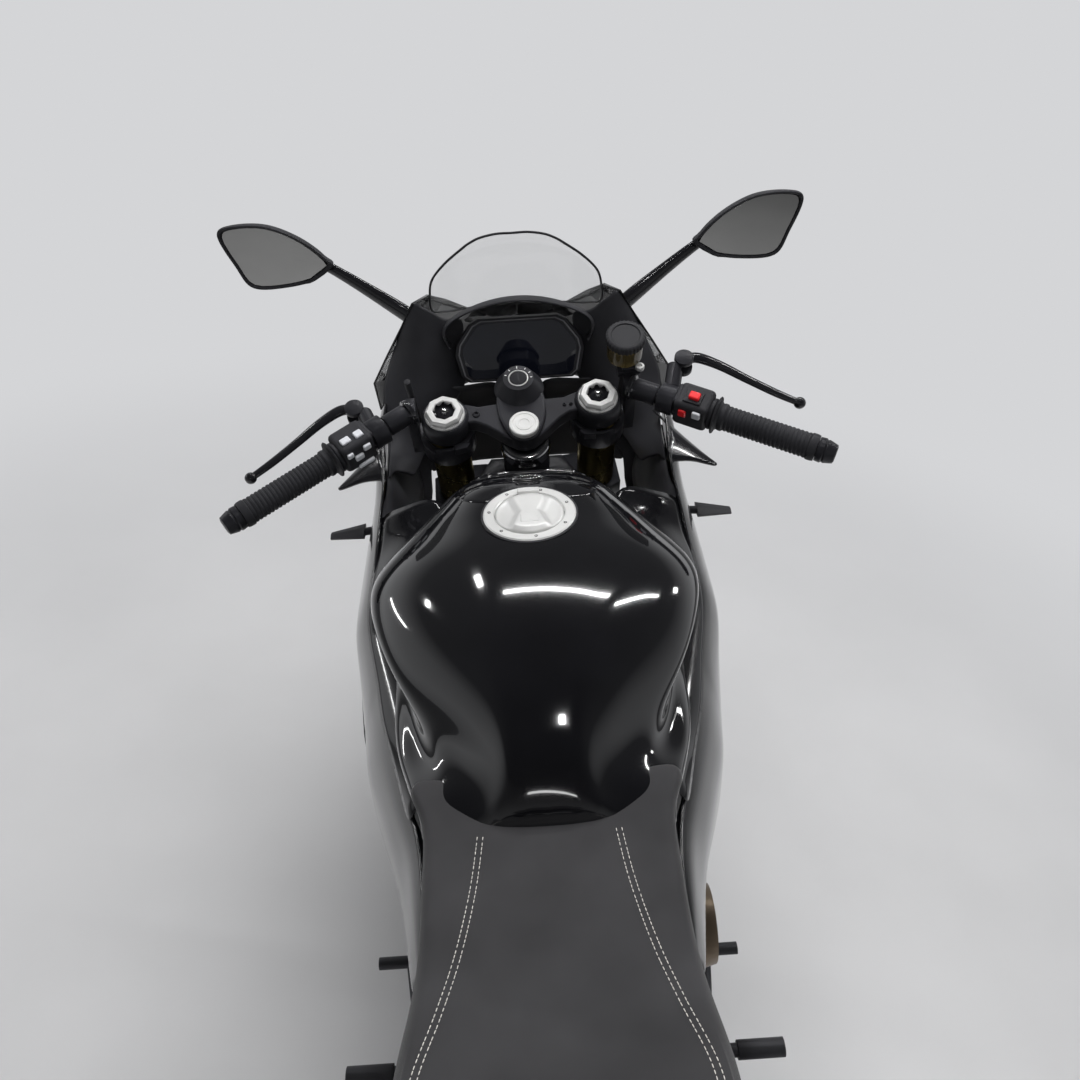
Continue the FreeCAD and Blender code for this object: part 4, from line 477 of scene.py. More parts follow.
# Tank, its front cover and the filler
# Columns of a section's right half: crown middle, crown, ridge, shoulder, brow, under the brow, knee, skirt,
# floor
TANK = [
    (300, [(0, 906), (40, 904), (70, 896), (88, 874), (94, 850), (94, 832), (92, 816), (88, 804), (0, 800)]),
    (252, [(0, 924), (50, 922), (82, 914), (110, 896), (132, 868), (137, 845), (134, 822), (128, 800),
           (0, 788)]),
    (184, [(0, 926), (52, 924), (88, 917), (132, 901), (168, 874), (177, 848), (166, 816), (160, 785),
           (0, 768)]),
    (125, [(0, 927), (51, 925), (90, 919), (142, 904), (181, 877), (185, 852), (166, 816), (164, 775),
           (0, 752)]),
    (60, [(0, 924), (47, 922), (82, 916), (131, 901), (168, 874), (171, 854), (151, 822), (158, 780),
          (0, 738)]),
    (0, [(0, 915), (39, 914), (68, 909), (107, 893), (143, 862), (148, 845), (138, 818), (156, 785),
         (0, 736)]),
    (-50, [(0, 902), (32, 901), (53, 897), (82, 880), (111, 850), (122, 832), (132, 812), (146, 790),
           (0, 738)]),
    (-90, [(0, 887), (26, 886), (43, 882), (64, 865), (86, 842), (106, 829), (124, 816), (134, 795),
           (0, 744)]),
    (-125, [(0, 869), (24, 868), (38, 865), (54, 850), (74, 836), (98, 829), (117, 822), (122, 800),
            (0, 748)]),
    (-148, [(0, 846), (26, 845), (42, 841), (56, 832), (74, 825), (98, 820), (111, 812), (112, 790),
            (0, 750)]),
    (-164, [(0, 822), (24, 822), (44, 820), (58, 815), (76, 810), (91, 804), (97, 794), (97, 780), (0, 752)]),
]


FILLER = Vector((0, 184, 927))
CAP_RADIUS, RING_RADIUS = 40, 54
SCREW_COUNT, SCREW_CIRCLE = 7, 47
COVER_Y, OVAL_Y = 259, 266


def filler():
    """The bright ring with its screws, and the cap with two scooped wings, a raised middle and a key flap."""
    ring = lathe("filler_band", [(RING_RADIUS, -6), (RING_RADIUS, 0.6), (RING_RADIUS - 1.6, 1.8),
                                 (CAP_RADIUS + 2.2, 1.6), (CAP_RADIUS + 0.6, 0.4), (CAP_RADIUS + 0.6, -6)],
                 FILLER, FROSTED, closed=True, count=96)
    gasket = lathe("filler_gasket", [(RING_RADIUS + 2.6, -6), (RING_RADIUS + 2.4, 0.2), (RING_RADIUS, 0.4),
                                     (RING_RADIUS, -6)], FILLER, MATTE, closed=True, count=96)
    screws = []
    for k in range(SCREW_COUNT):
        turn = math.radians(20 + 360 / SCREW_COUNT * k)
        at = FILLER + Vector((SCREW_CIRCLE * math.cos(turn), SCREW_CIRCLE * math.sin(turn), 1.4))
        screws.append(lathe("screw", [(1.9, -1), (1.9, 0.5), (1.2, 0.7), (1.0, -0.4)], at, DARK_STEEL,
                            count=14))
    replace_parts(joined("filler_trim", ring, gasket, *screws), "filler_ring")
    lid = cap_lid()
    flap = plate("key_flap", [(-11, -24), (11, -24), (11, -8), (-11, -8)], FILLER.z + 2.4, FILLER.z + 6.4,
                 FROSTED, "fuel_cap", BIKE @ Matrix.Translation((0, FILLER.y, 0)), 1.6)
    hinge = brick("cap_hinge", (0, FILLER.y + 41, FILLER.z + 3.6), (26, 9, 6), FROSTED, "fuel_cap", edge=1.5)
    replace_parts(joined("cap_lid", lid, flap, hinge), "fuel_cap")


def cap_lid():
    """The lid's top: a disc whose two sides are scooped so that a bow tie stands up across the middle."""
    rings, count = 14, 72
    points = []
    for i in range(rings + 1):
        radius = CAP_RADIUS * i / rings
        for k in range(count):
            turn = 2 * math.pi * k / count
            x, y = radius * math.cos(turn), radius * math.sin(turn)
            bow = 9 + 0.32 * abs(y)
            side = min(max((abs(x) - bow) / 9, 0), 1)
            rim = min(max((radius - CAP_RADIUS + 6) / 4, 0), 1)
            height = 5.2 * (1 - side * side * (3 - 2 * side)) + 0.6
            height = height * (1 - rim) + 1.4 * rim
            points.append((x, FILLER.y + y, FILLER.z + height))
    base = len(points)
    points += [(x, y, FILLER.z - 5) for x, y, _ in points[-count:]]
    faces = grid_faces(rings + 2, count, wrap_columns=True) + [tuple(range(base, base + count))]
    return new_piece("lid_form", points, faces, "fuel_cap", FROSTED)


def tank_front():
    """The cover ahead of the filler: a low arched plate with a bright oval ring."""
    outline = two_sided([(0, 212), (46, 214), (74, 224), (90, 246), (96, 270), (88, 296), (60, 303),
                         (0, 305)])
    rows = []
    for scale, lift in ((1.0, -5), (1.0, 0.5), (0.965, 2.6), (0.8, 3.2), (0.45, 3.6)):
        ring = []
        for x, y in outline:
            y_here = COVER_Y + (y - COVER_Y) * scale
            ring.append((x * scale, y_here, top_of_tank(x * scale, y_here) + lift))
        rows.append(ring)
    closed_loft("tank_front_cover", rows, GLOSS)
    oval = []
    for radius_x, radius_y, lift in ((19, 9.5, 2), (19, 9.5, 4.4), (17.6, 8.4, 5.0), (15.4, 6.8, 4.4),
                                     (15.4, 6.8, 2)):
        ring = []
        for k in range(32):
            turn = 2 * math.pi * k / 32
            y = OVAL_Y + radius_y * math.sin(turn)
            ring.append((radius_x * math.cos(turn), y, top_of_tank(0, y) + lift + 1.2))
        oval.append(ring)
    closed_loft("cover_oval", oval, POLISHED, levels=1, cap=False)


def top_of_tank(x, y):
    """Height of the tank's crown, straight between its table's sections."""
    rows = sorted(TANK)
    for (y0, a), (y1, b) in zip(rows, rows[1:]):
        if y0 <= y <= y1:
            t = (y - y0) / (y1 - y0)
            row = [(p[0] * (1 - t) + q[0] * t, p[1] * (1 - t) + q[1] * t) for p, q in zip(a, b)]
            for (xa, za), (xb, zb) in zip(row, row[1:]):
                if xa <= abs(x) <= xb:
                    return za + (zb - za) * (abs(x) - xa) / max(xb - xa, 1e-6)
            return row[4][1]
    return rows[-1][1][0][1]


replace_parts(closed_loft("tank_shell", sections(TANK), GLOSS, levels=3), "tank", "tank_cover")
tank_front()
filler()

# Seats
# Columns of a section's right half: top middle, top, seam, outer top, edge, side, side low, under, floor.
# The number after a section's place is its share of the horns' lead
SEAT = [
    (-173, 1.0, [(0, 816), (40, 817), (68, 821), (98, 827), (118, 832), (123, 823), (119, 806),
                 (112, 790), (0, 778)]),
    (-200, 0.9, [(0, 812), (42, 814), (70, 817), (98, 822), (115, 826), (121, 816), (117, 800),
                 (110, 786), (0, 772)]),
    (-240, 0.6, [(0, 809), (44, 811), (75, 815), (99, 820), (113, 819), (118, 806), (114, 790),
                 (108, 778), (0, 768)]),
    (-300, 0.2, [(0, 810), (46, 813), (84, 819), (103, 820), (113, 814), (118, 800), (114, 784),
                 (108, 774), (0, 770)]),
    (-350, 0.0, [(0, 816), (50, 819), (97, 826), (113, 826), (121, 818), (125, 804), (120, 788),
                 (112, 779), (0, 774)]),
    (-400, 0.0, [(0, 827), (54, 830), (111, 836), (121, 832), (127, 823), (131, 808), (125, 793),
                 (117, 785), (0, 781)]),
    (-445, 0.0, [(0, 840), (56, 843), (113, 845), (122, 840), (128, 829), (131, 815), (124, 801),
                 (116, 793), (0, 789)]),
    (-468, 0.0, [(0, 844), (56, 846), (108, 846), (118, 841), (124, 830), (127, 817), (121, 803),
                 (113, 796), (0, 793)]),
]
HORN_LEAD, HORN_PLACE, HORN_CURVE = 60, 118, 2.2
# Seams as (y, x) points, with a row of stitches at this distance on both sides
SEAMS = [(-173, 64), (-230, 71), (-290, 82), (-340, 95), (-393, 110), (-440, 113)]
SEAM_GAP = 2.6
PILLION = [
    (-556, [(0, 932), (50, 930), (78, 922), (86, 910), (84, 906), (0, 906)]),
    (-590, [(0, 952), (56, 950), (90, 940), (99, 924), (96, 916), (0, 916)]),
    (-640, [(0, 963), (54, 961), (86, 953), (99, 938), (95, 925), (0, 925)]),
    (-700, [(0, 967), (46, 965), (78, 958), (94, 944), (90, 932), (0, 932)]),
    (-760, [(0, 966), (36, 964), (62, 958), (78, 946), (75, 936), (0, 936)]),
    (-798, [(0, 958), (28, 957), (48, 953), (62, 944), (60, 939), (0, 939)]),
]
PILLION_SEAMS = [(-566, 44), (-600, 58), (-680, 56), (-785, 34)]


def rider_seat():
    rings = []
    for y, lead, half in SEAT:
        rings.append(two_sided([(x, y + lead * HORN_LEAD * min(x / HORN_PLACE, 1)**HORN_CURVE, z)
                                for x, z in half]))
    cushion("seat_cushion", "rider_seat", rings, "seat_stitches", SEAMS)


def cushion(name, node, rings, thread_name, seam):
    """A padded form with a double row of stitches along a seam of (y, x) points on each side."""
    piece = closed_loft(name, rings, SUEDE, levels=3)
    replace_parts(piece, node)
    stitches(thread_name, surface_tree(piece), [[(side * (x + gap), y) for y, x in seam]
                                                for side in (-1, 1) for gap in (-SEAM_GAP, SEAM_GAP)])


def surface_tree(piece):
    """A search tree of a piece's smooth surface, in the row frame."""
    bpy.context.view_layer.update()
    return BVHTree.FromObject(piece, bpy.context.evaluated_depsgraph_get())


def stitches(name, tree, rows, pitch=4.8, length=3.5, thick=0.42):
    """Short threads laid on a surface along rows of (x, y) points, each found straight above its place."""
    down = (BIKE.to_3x3() @ Vector((0, 0, -1))).normalized()
    points, faces = [], []
    for row in rows:
        line = spline([(x, y, 0) for x, y in row], 40)
        travel, target = 0.0, pitch / 2
        for a, b in zip(line, line[1:]):
            travel += (b - a).length
            if travel < target:
                continue
            target += pitch
            run = (b - a).normalized()
            ends = []
            for end in (-0.5, 0.5):
                at = BIKE @ (b + run * end * length + Vector((0, 0, 1000)))
                ends.append(tree.ray_cast(at, down)[:2])
            if ends[0][0] is not None and ends[1][0] is not None:
                lay_thread(points, faces, ends, thick * MM)
    inverse = BIKE.inverted()
    new_piece(name, [inverse @ p for p in points], faces, "chassis", THREAD)


def lay_thread(points, faces, ends, thick):
    """Adds one thread between two (place, normal) ends, thinner where it dips into the cloth."""
    (a, normal_a), (b, normal_b) = ends
    along = (b - a).normalized()
    normal = (normal_a + normal_b).normalized()
    across = along.cross(normal).normalized()
    base = len(points)
    for centre, size, lift in ((a, 0.4, 0), (a.lerp(b, 0.2), 1, 0.5), (a.lerp(b, 0.8), 1, 0.5), (b, 0.4, 0)):
        middle = centre + normal * thick * lift
        for k in range(6):
            turn = 2 * math.pi * k / 6
            points.append(middle + across * math.cos(turn) * thick * size
                          + normal * math.sin(turn) * thick * size)
    faces += [tuple(base + i for i in f) for f in grid_faces(4, 6, wrap_columns=True)]
    faces += [tuple(range(base, base + 6)), tuple(range(base + 18, base + 24))]


rider_seat()
cushion("pillion_cushion", "pillion_seat", sections(PILLION), "pillion_stitches", PILLION_SEAMS)

TAIL = [
    (-474, [(0, 868), (56, 867), (100, 860), (122, 848), (133, 832), (130, 800)]),
    (-520, [(0, 888), (56, 887), (98, 879), (118, 864), (129, 846), (122, 806)]),
    (-560, [(0, 905), (56, 904), (92, 896), (110, 882), (122, 862), (113, 815)]),
    (-610, [(0, 920), (58, 919), (92, 909), (108, 894), (117, 868), (103, 824)]),
    (-700, [(0, 931), (54, 930), (82, 922), (96, 908), (104, 886), (84, 844)]),
    (-800, [(0, 939), (38, 938), (56, 933), (67, 924), (75, 906), (60, 868)]),
    (-900, [(0, 947), (16, 946), (30, 941), (38, 933), (44, 920), (34, 896)]),
]
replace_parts(sheet("tail_shell", whole_rows(TAIL), PANEL, levels=3), "tail_cowl")

# Side fairings: the skin's sections, then the curves that bound each panel
SIDE = [
    (610, [(205, 900), (220, 850), (219, 800), (208, 740), (190, 690), (172, 640), (150, 590)]),
    (520, [(205, 905), (228, 830), (222, 770), (206, 700), (186, 630), (168, 560), (140, 490)]),
    (400, [(202, 850), (236, 750), (240, 660), (226, 550), (202, 420), (168, 300), (140, 230)]),
    (200, [(205, 812), (236, 745), (227, 650), (204, 530), (182, 400), (150, 260), (100, 180)]),
    (0, [(176, 792), (205, 710), (205, 650), (192, 560), (174, 430), (146, 290), (100, 190)]),
    (-160, [(128, 790), (152, 730), (156, 680), (152, 600), (146, 500), (132, 400), (110, 300)]),
    (-320, [(112, 800), (128, 770), (130, 740), (126, 700), (120, 660), (116, 620), (110, 580)]),
]


def between(pairs, at):
    """Straight interpolation in a list of (place, value) pairs."""
    pairs = sorted(pairs)
    if at <= pairs[0][0]:
        return pairs[0][1]
    for (a, va), (b, vb) in zip(pairs, pairs[1:]):
        if a <= at <= b:
            return va + (vb - va) * (at - a) / max(b - a, 1e-6)
    return pairs[-1][1]


def side_x(y, z):
    """How far out the fairing's skin lies at a place."""
    rows = [(station, between([(b, a) for a, b in points], z)) for station, points in SIDE]
    return between(rows, y)


def side_panel(name, top, bottom, stations, side, columns=7, tuck=0.0):
    """A panel of the fairing between two curves of (y, z) points; tuck rolls its top edge inward."""
    rows = []
    for y in stations:
        z_top, z_low = between(top, y), between(bottom, y)
        row = []
        for k in range(columns):
            share = k / (columns - 1)
            z = z_top + (z_low - z_top) * share
            roll = tuck * max(0, 1 - share * (columns - 1) / 1.2)**2
            row.append((side_x(y, z) - roll, y, z + roll * 0.25))
        rows.append(row)
    return sheet(name, rows, PANEL, side=side, settled=False)


UPPER_TOP = [(600, 882), (540, 884), (420, 846), (300, 810), (100, 797), (0, 791), (-90, 786), (-200, 792),
             (-300, 800)]
BELT = [(600, 800), (520, 770), (420, 735), (300, 712), (150, 700), (64, 694), (52, 652), (40, 642),
        (-60, 677), (-120, 706), (-200, 740), (-300, 780)]
LOWER_TOP = [(y, z - 3) for y, z in BELT]
BOTTOM_EDGE = [(600, 740), (520, 680), (445, 610), (405, 520), (385, 440), (330, 400), (150, 430), (60, 470)]
UPPER_STATIONS = (600, 570, 540, 500, 460, 420, 380, 340, 300, 250, 200, 150, 100, 66, 54, 40, 0, -50, -100,
                  -150, -200, -250, -298)
LOWER_STATIONS = (600, 560, 520, 480, 445, 425, 405, 385, 360, 330, 280, 220, 150, 100, 66)

# Gloss covers that close the space between the tank's flanks and the fairings
SHOULDER = [
    ((126, 338, 852), (166, 340, 842), (201, 346, 822)),
    ((104, 300, 838), (158, 304, 830), (206, 300, 809)),
    ((134, 250, 830), (174, 250, 824), (208, 250, 805)),
    ((160, 184, 818), (186, 184, 815), (207, 184, 804)),
    ((160, 125, 812), (182, 125, 809), (200, 125, 798)),
    ((146, 60, 812), (168, 60, 806), (186, 60, 794)),
    ((134, 0, 812), (156, 0, 804), (175, 0, 790)),
    ((126, -60, 806), (144, -60, 800), (157, -60, 787)),
    ((112, -125, 812), (130, -125, 802), (139, -125, 787)),
]
# Dark liners inside the fairings
LINER_ROWS = [
    ((203, 560, 872), (184, 560, 806), (166, 556, 736)),
    ((200, 500, 846), (184, 500, 782), (168, 496, 716)),
    ((200, 440, 826), (174, 440, 762), (154, 440, 694)),
    ((200, 390, 820), (166, 388, 756), (138, 388, 684)),
    ((200, 350, 818), (158, 344, 770), (132, 338, 690)),
]
# Pointed blades on the fairing below the bars
WINGLET = [
    ((190, 520, 866), (212, 470, 856), (196, 420, 842)),
    ((222, 486, 846), (232, 456, 843), (226, 424, 834)),
    ((250, 456, 830), (254, 442, 830), (252, 426, 826)),
    ((270, 433, 821), (270.5, 430, 821), (270, 427, 820)),
]

for side, tag in SIDES:
    upper = side_panel(f"upper_panel_{tag}", UPPER_TOP, BELT, UPPER_STATIONS, side, 6, 6)
    side_panel(f"lower_panel_{tag}", LOWER_TOP, BOTTOM_EDGE, LOWER_STATIONS, side)
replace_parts(upper, "side_fairings")
for name, rows, surface, wall in (("shoulder_cover", SHOULDER, PANEL, 2.5),
                                  ("inner_liner", LINER_ROWS, LINER, 2),
                                  ("winglet", WINGLET, GLOSS_ALLOY, 3)):
    for side, tag in SIDES:
        sheet(f"{name}_{tag}", rows, surface, wall, side=side)

# Nose, ears, windscreen and dash
SCREEN_ROWS = [
    (566, [(0, 1124), (22, 1124), (44, 1120), (58, 1114), (69, 1107)]),
    (578, [(0, 1119), (36, 1116), (66, 1105), (84, 1094), (96, 1083)]),
    (592, [(0, 1112), (46, 1106), (82, 1089), (104, 1072), (117, 1056)]),
    (615, [(0, 1098), (50, 1091), (90, 1073), (112, 1051), (125, 1026)]),
    (640, [(0, 1081), (52, 1074), (92, 1055), (116, 1027), (127, 990)]),
    (700, [(0, 1030), (50, 1022), (88, 1002), (106, 980), (114, 962)]),
    (740, [(0, 985), (42, 980), (74, 968), (90, 956), (98, 946)]),
    (769, [(0, 946), (30, 943), (52, 941), (66, 939), (76, 937)]),
]


def windscreen():
    rows = whole_rows(SCREEN_ROWS)
    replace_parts(sheet("screen_shell", rows, SCREEN, wall=2.6, levels=3), "windscreen")
    rim = [row[0] for row in rows[::-1]] + rows[0][1:-1] + [row[-1] for row in rows]
    sweep("screen_rim", rim, [1.7] * len(rim), MATTE, count=8, steps=6)


DASH = BIKE @ Matrix.Translation((0, 560, 906)) @ Matrix.Rotation(math.radians(-15.7), 4, "X")
DASH_OUTLINE = [(-67, 92), (67, 92), (97, 50), (86, 0), (-86, 0), (-97, 50)]


def chamfered(outline, cut):
    """The outline with each corner cut straight, by a distance along its two sides."""
    made = []
    for i, here in enumerate(outline):
        for other in (outline[i - 1], outline[(i + 1) % len(outline)]):
            made.append(tuple(Vector(here) + (Vector(other) - Vector(here)).normalized() * cut))
    return made


def scaled(outline, factor, grow=0.0):
    """The outline made larger about its middle, by a factor and then by a distance."""
    cx = sum(a for a, _ in outline) / len(outline)
    cy = sum(b for _, b in outline) / len(outline)
    made = []
    for a, b in outline:
        run = Vector((a - cx, b - cy))
        made.append(tuple(Vector((cx, cy)) + run * factor + run.normalized() * grow))
    return made


def smooth_outline(outline, steps):
    """A closed smooth curve through an outline's corners."""
    wrapped = [outline[-1]] + list(outline) + [outline[0]]
    line = spline([(a, b, 0) for a, b in wrapped], steps)
    return [(p.x, p.y) for p in line[steps:-steps - 1]]


def display():
    layers = []
    for tag, shrink, cut, near, far, surface, edge in (
            ("case", 0, 9, 0.6, 24, MATTE, 2.5), ("rim", 5, 8, -0.6, 3, BEZEL, 0.8),
            ("border", 7.2, 7.5, -1.0, 3, MATTE, 0.5), ("face", 11.5, 6, -1.4, 3, DISPLAY_GLASS, 0.4)):
        outline = chamfered(scaled(DASH_OUTLINE, 1, -shrink), cut)
        layers.append(plate(f"display_{tag}", outline, near, far, surface, where=DASH, edge=edge, across="y"))
    whole = joined("display_unit", *layers)
    rows = []
    for depth, reach in ((-14, 0), (-12, 3), (0, 5), (16, 5), (30, 1)):
        rows.append([(-101 - reach * 0.5, depth, 56), (-104 - reach, depth, 84), (-62, depth, 106 + reach),
                     (0, depth, 116 + reach), (62, depth, 106 + reach), (104 + reach, depth, 84),
                     (101 + reach * 0.5, depth, 56)])
    sheet("dash_hood", rows, MATTE, levels=3, where=DASH)
    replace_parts(whole, "display")


EARS = [
    ((84, 616, 984), (106, 608, 988), (124, 603, 1003), (139, 602, 1013), (148, 604, 1016)),
    ((84, 607, 958), (104, 596, 962), (128, 590, 974), (152, 591, 984), (170, 603, 980)),
    ((84, 599, 930), (102, 587, 934), (128, 580, 942), (158, 582, 950), (187, 601, 944)),
    ((84, 590, 901), (106, 576, 903), (138, 562, 902), (172, 562, 902), (206, 576, 900)),
    ((104, 574, 872), (128, 556, 870), (154, 541, 868), (180, 538, 870), (203, 546, 872)),
    ((134, 548, 838), (150, 532, 838), (168, 522, 842), (186, 518, 847), (201, 520, 850)),
    ((156, 506, 818), (166, 496, 822), (180, 490, 828), (191, 485, 834), (200, 478, 838)),
    ((168, 476, 806), (176, 470, 812), (186, 463, 819), (195, 455, 824), (200, 440, 825)),
]
# The wall ahead of the fork, from the stay under the display out to the fairing
BULKHEAD = [((36, 574, 897), (205.3, 572, 896.5)), ((36, 602, 842), (212.9, 588, 840)),
            ((140, 592, 775), (206.5, 584, 775)), ((152, 562, 720), (197.3, 556, 720)),
            ((168, 528, 685), (192.3, 524, 685))]
# The dark wall that the rider sees between the bulkheads, from the outside to the middle
DUCT_WALL = [[(60, 604, 843), (30, 607, 844), (0, 608, 844)],
             [(138, 597, 800), (90, 607, 800), (0, 609, 800)],
             [(150, 594, 765), (96, 615, 764), (0, 617, 764)],
             [(153, 584, 742), (100, 623, 734), (0, 625, 734)]]


def ears():
    wall = [[Vector(inner).lerp(Vector(outer), k / 4) for k in range(5)] for inner, outer in BULKHEAD]
    for side, tag in SIDES:
        piece = sheet(f"ear_{tag}", EARS, MATTE, levels=3, side=side)
        sweep(f"ear_edge_{tag}", [flip(row[-1], side) for row in EARS[:5]], [1.8] * 5, MATTE, count=10)
        sheet(f"bulkhead_{tag}", wall, LINER, 2.5, side=side)
    sheet("nose_duct_wall", [[flip(p, -1) for p in half[:-1]] + half[::-1] for half in DUCT_WALL], LINER, 2)
    lathe("ear_screw", [(3.6, -3), (3.6, 1), (3, 1.6), (1.8, 1.6), (1.6, 0.6)], (-196, 566, 890), FROSTED,
          direction=(-0.15, -0.9, 0.4), count=20)
    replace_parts(piece, "inner_panels")


windscreen()
display()
ears()

# Mirrors
MIRROR = [(262, 1066), (296, 1104), (346, 1130), (398, 1133), (417, 1121), (402, 1076), (383, 1042),
          (330, 1040), (282, 1050)]
MIRROR_ARM = [(157, 614, 993), (180, 622, 1008), (222, 638, 1033), (262, 652, 1056), (300, 664, 1076)]


def mirrors():
    outline = smooth_outline(MIRROR, 4)
    for side, tag in SIDES:
        rings = []
        for factor, y in ((0.86, 643.4), (0.92, 643.2), (0.925, 638.8), (0.985, 638.6), (1, 641),
                          (0.99, 648), (0.9, 660), (0.66, 669), (0.3, 673)):
            rings.append([(side * a, y, b) for a, b in scaled(outline, factor)])
        shell = closed_loft(f"mirror_shell_{tag}", rings, MATTE, levels=1)
        glass = plate(f"mirror_face_{tag}", [flip(p, side) for p in scaled(outline, 0.905)], 641.4, 643.6,
                      MIRROR_GLASS, edge=0.5, across="y")
        sweep(f"mirror_arm_{tag}", [flip(p, side) for p in MIRROR_ARM], [12, 11.5, 9.5, 8, 7], GLOSS_ALLOY,
              flat=0.7, count=24, up=(0, 1, 0))
    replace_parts(shell, "mirrors")
    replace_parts(glass, "mirror_glasses")


mirrors()

# Steering: yoke, fork caps, ignition, bars, grips, switches and levers
YOKE_HALF = [(0, 50), (32, 48), (58, 47), (78, 54), (84, 34), (76, 22), (64, 21), (50, 13), (36, 1),
             (24, -10), (12, -19), (0, -22)]
TOWER_HALF = [(0, 95), (17, 92), (27, 82), (31, 66), (33, 44), (32, 22), (28, 6), (24, -4), (17, -16),
              (9, -21), (0, -23)]
PINCH_LUG = [(74, 4), (80, -4), (96, -6), (98, 6)]
LOCK_Y = 66
TICK_CIRCLE, TICK_HEIGHT = 17.6, 1033.1


def yoke():
    pieces = [plate("yoke_wings", two_sided(YOKE_HALF), 984, 1006, SATIN, "steering", FORK, 3),
              plate("yoke_tower", two_sided(TOWER_HALF), 990, 1013, SATIN, "steering", FORK, 4)]
    for side in (-1, 1):
        pieces.append(fork_lathe("clamp", [(27, 984), (32, 984), (33, 986.5), (32.6, 1003), (31, 1009),
                                           (29, 1011.6), (27.4, 1012)],
                                 (side * FORK_SPREAD, FORK_OFFSET, 0), SATIN, closed=True))
        pieces.append(plate("pinch_lug", [flip(p, side) for p in PINCH_LUG], 972, 984.5, SATIN, "steering",
                            FORK, 1.5))
    for x, y, size in ((-62, 33, 1.0), (58, 33, 0.5), (67, 32.6, 0.5)):
        pieces.append(fork_lathe("yoke_bolt", [(5 * size, 1003), (5 * size, 1007), (4.2 * size, 1008),
                                               (2.6 * size, 1008), (2.4 * size, 1006.4)],
                                 (x, y, 0), DARK_STEEL, count=24))
    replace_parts(joined("yoke_body", *pieces), "top_yoke")
    fork_lathe("stem_nut", [(20, 1011), (20, 1018.6), (18.8, 1020), (15.6, 1020), (15.2, 1019.5),
                            (11.6, 1019.5), (11.2, 1020), (7, 1020), (6.6, 1019.4), (2, 1019.2)],
               (0, 0, 0), FROSTED, count=64)
    lathe("head_bearing_cover", [(32.2, 962), (34, 963), (34, 976), (32.6, 979.4), (30, 981.2), (24, 981.4)],
          (0, 0, 0), POLISHED, where=FORK, count=64)
    for side, tag in SIDES:
        fork_cap(tag, (side * FORK_SPREAD, FORK_OFFSET, 0))


def fork_cap(tag, at):
    """A bright nut on its flange, with a black well and a small adjuster in the middle."""
    flange = fork_lathe(f"fork_flange_{tag}", [(27, 1008), (27, 1013.6), (25.6, 1015), (15, 1015),
                                               (15, 1008)], at, FROSTED, count=60, closed=True)
    nut = fork_lathe(f"fork_nut_{tag}", [(26, 1014), (26, 1019.4), (23.4, 1023), (16.4, 1023), (15, 1021.6),
                                         (15, 1014)], at, FROSTED, count=8, closed=True)
    bevelled(nut, 0.7, 2, 20)
    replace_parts(joined(f"fork_cap_{tag}", flange, nut), "fork_caps")
    fork_lathe(f"fork_well_{tag}", [(15.2, 1009), (15.2, 1020.8), (14.4, 1021), (13.8, 1016), (10, 1014),
                                    (9.4, 1017), (5.4, 1017.4), (5, 1014), (1, 1014)], at, GLOSS_ALLOY)
    fork_lathe(f"fork_adjuster_{tag}", [(4.4, 1013), (4.4, 1019), (3.2, 1021.4), (0.6, 1022)], at, POLISHED,
               count=28)


def ignition():
    at = (0, LOCK_Y, 0)
    barrel = fork_lathe("ignition_ring", [(34, 1010), (31, 1016), (26, 1024), (22.6, 1029.4), (20.8, 1032.6),
                                          (14.4, 1033), (13.8, 1031.4), (2, 1031.2)], at, SATIN, count=64)
    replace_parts(barrel, "ignition_lock")
    fork_lathe("ignition_inner", [(13.6, 1030), (13.6, 1032.6), (12.4, 1033), (11.8, 1031.6), (11.8, 1030)],
               at, FROSTED, count=56, closed=True)
    fork_lathe("key_plug", [(11.6, 1030), (11.6, 1032.2), (10.8, 1032.8), (1, 1032.9)], at, DARK_STEEL)
    # The key's slot is not cut: a matte black block on the plug is painted shade for the opening.
    brick("key_slot_painted_shade", (0, LOCK_Y, 1032.9), (2.2, 12, 1.6), MATTE, "steering", FORK, edge=0.4)
    ticks = []
    for degrees, long in ((90, 4.2), (52, 3), (24, 3), (-4, 2.4), (128, 3), (160, 3)):
        turn = math.radians(degrees)
        place = (TICK_CIRCLE * math.cos(turn), LOCK_Y + TICK_CIRCLE * math.sin(turn), TICK_HEIGHT)
        ticks.append(brick("tick", place, (long, 1.1, 0.5), MARK_WHITE, "steering", FORK,
                           (math.cos(turn), math.sin(turn), 0), 0.15))
    joined("ignition_marks", *ticks)


BAR_INNER, BAR_OUTER = Vector((147, 44, 1016)), Vector((374, -99, 1023))
BAR_RUN = (BAR_OUTER - BAR_INNER).normalized()
BAR_FRONT = Vector((0, 0, 1)).cross(BAR_RUN).normalized()


def along(distance, side, lift=0.0, ahead=0.0):
    """A point of the bar, a distance from its inner end, moved up and ahead."""
    return Vector(flip(BAR_INNER + BAR_RUN * distance + Vector((0, 0, lift)) + BAR_FRONT * ahead, side))


def on_bar(name, profile, side, surface, count=40, closed=True):
    """A turned sleeve round the bar: profile is (radius, distance along the bar) pairs."""
    run = along(100, side) - along(0, side)
    return fork_lathe(name, profile, along(0, side), surface, direction=run, count=count, closed=closed)


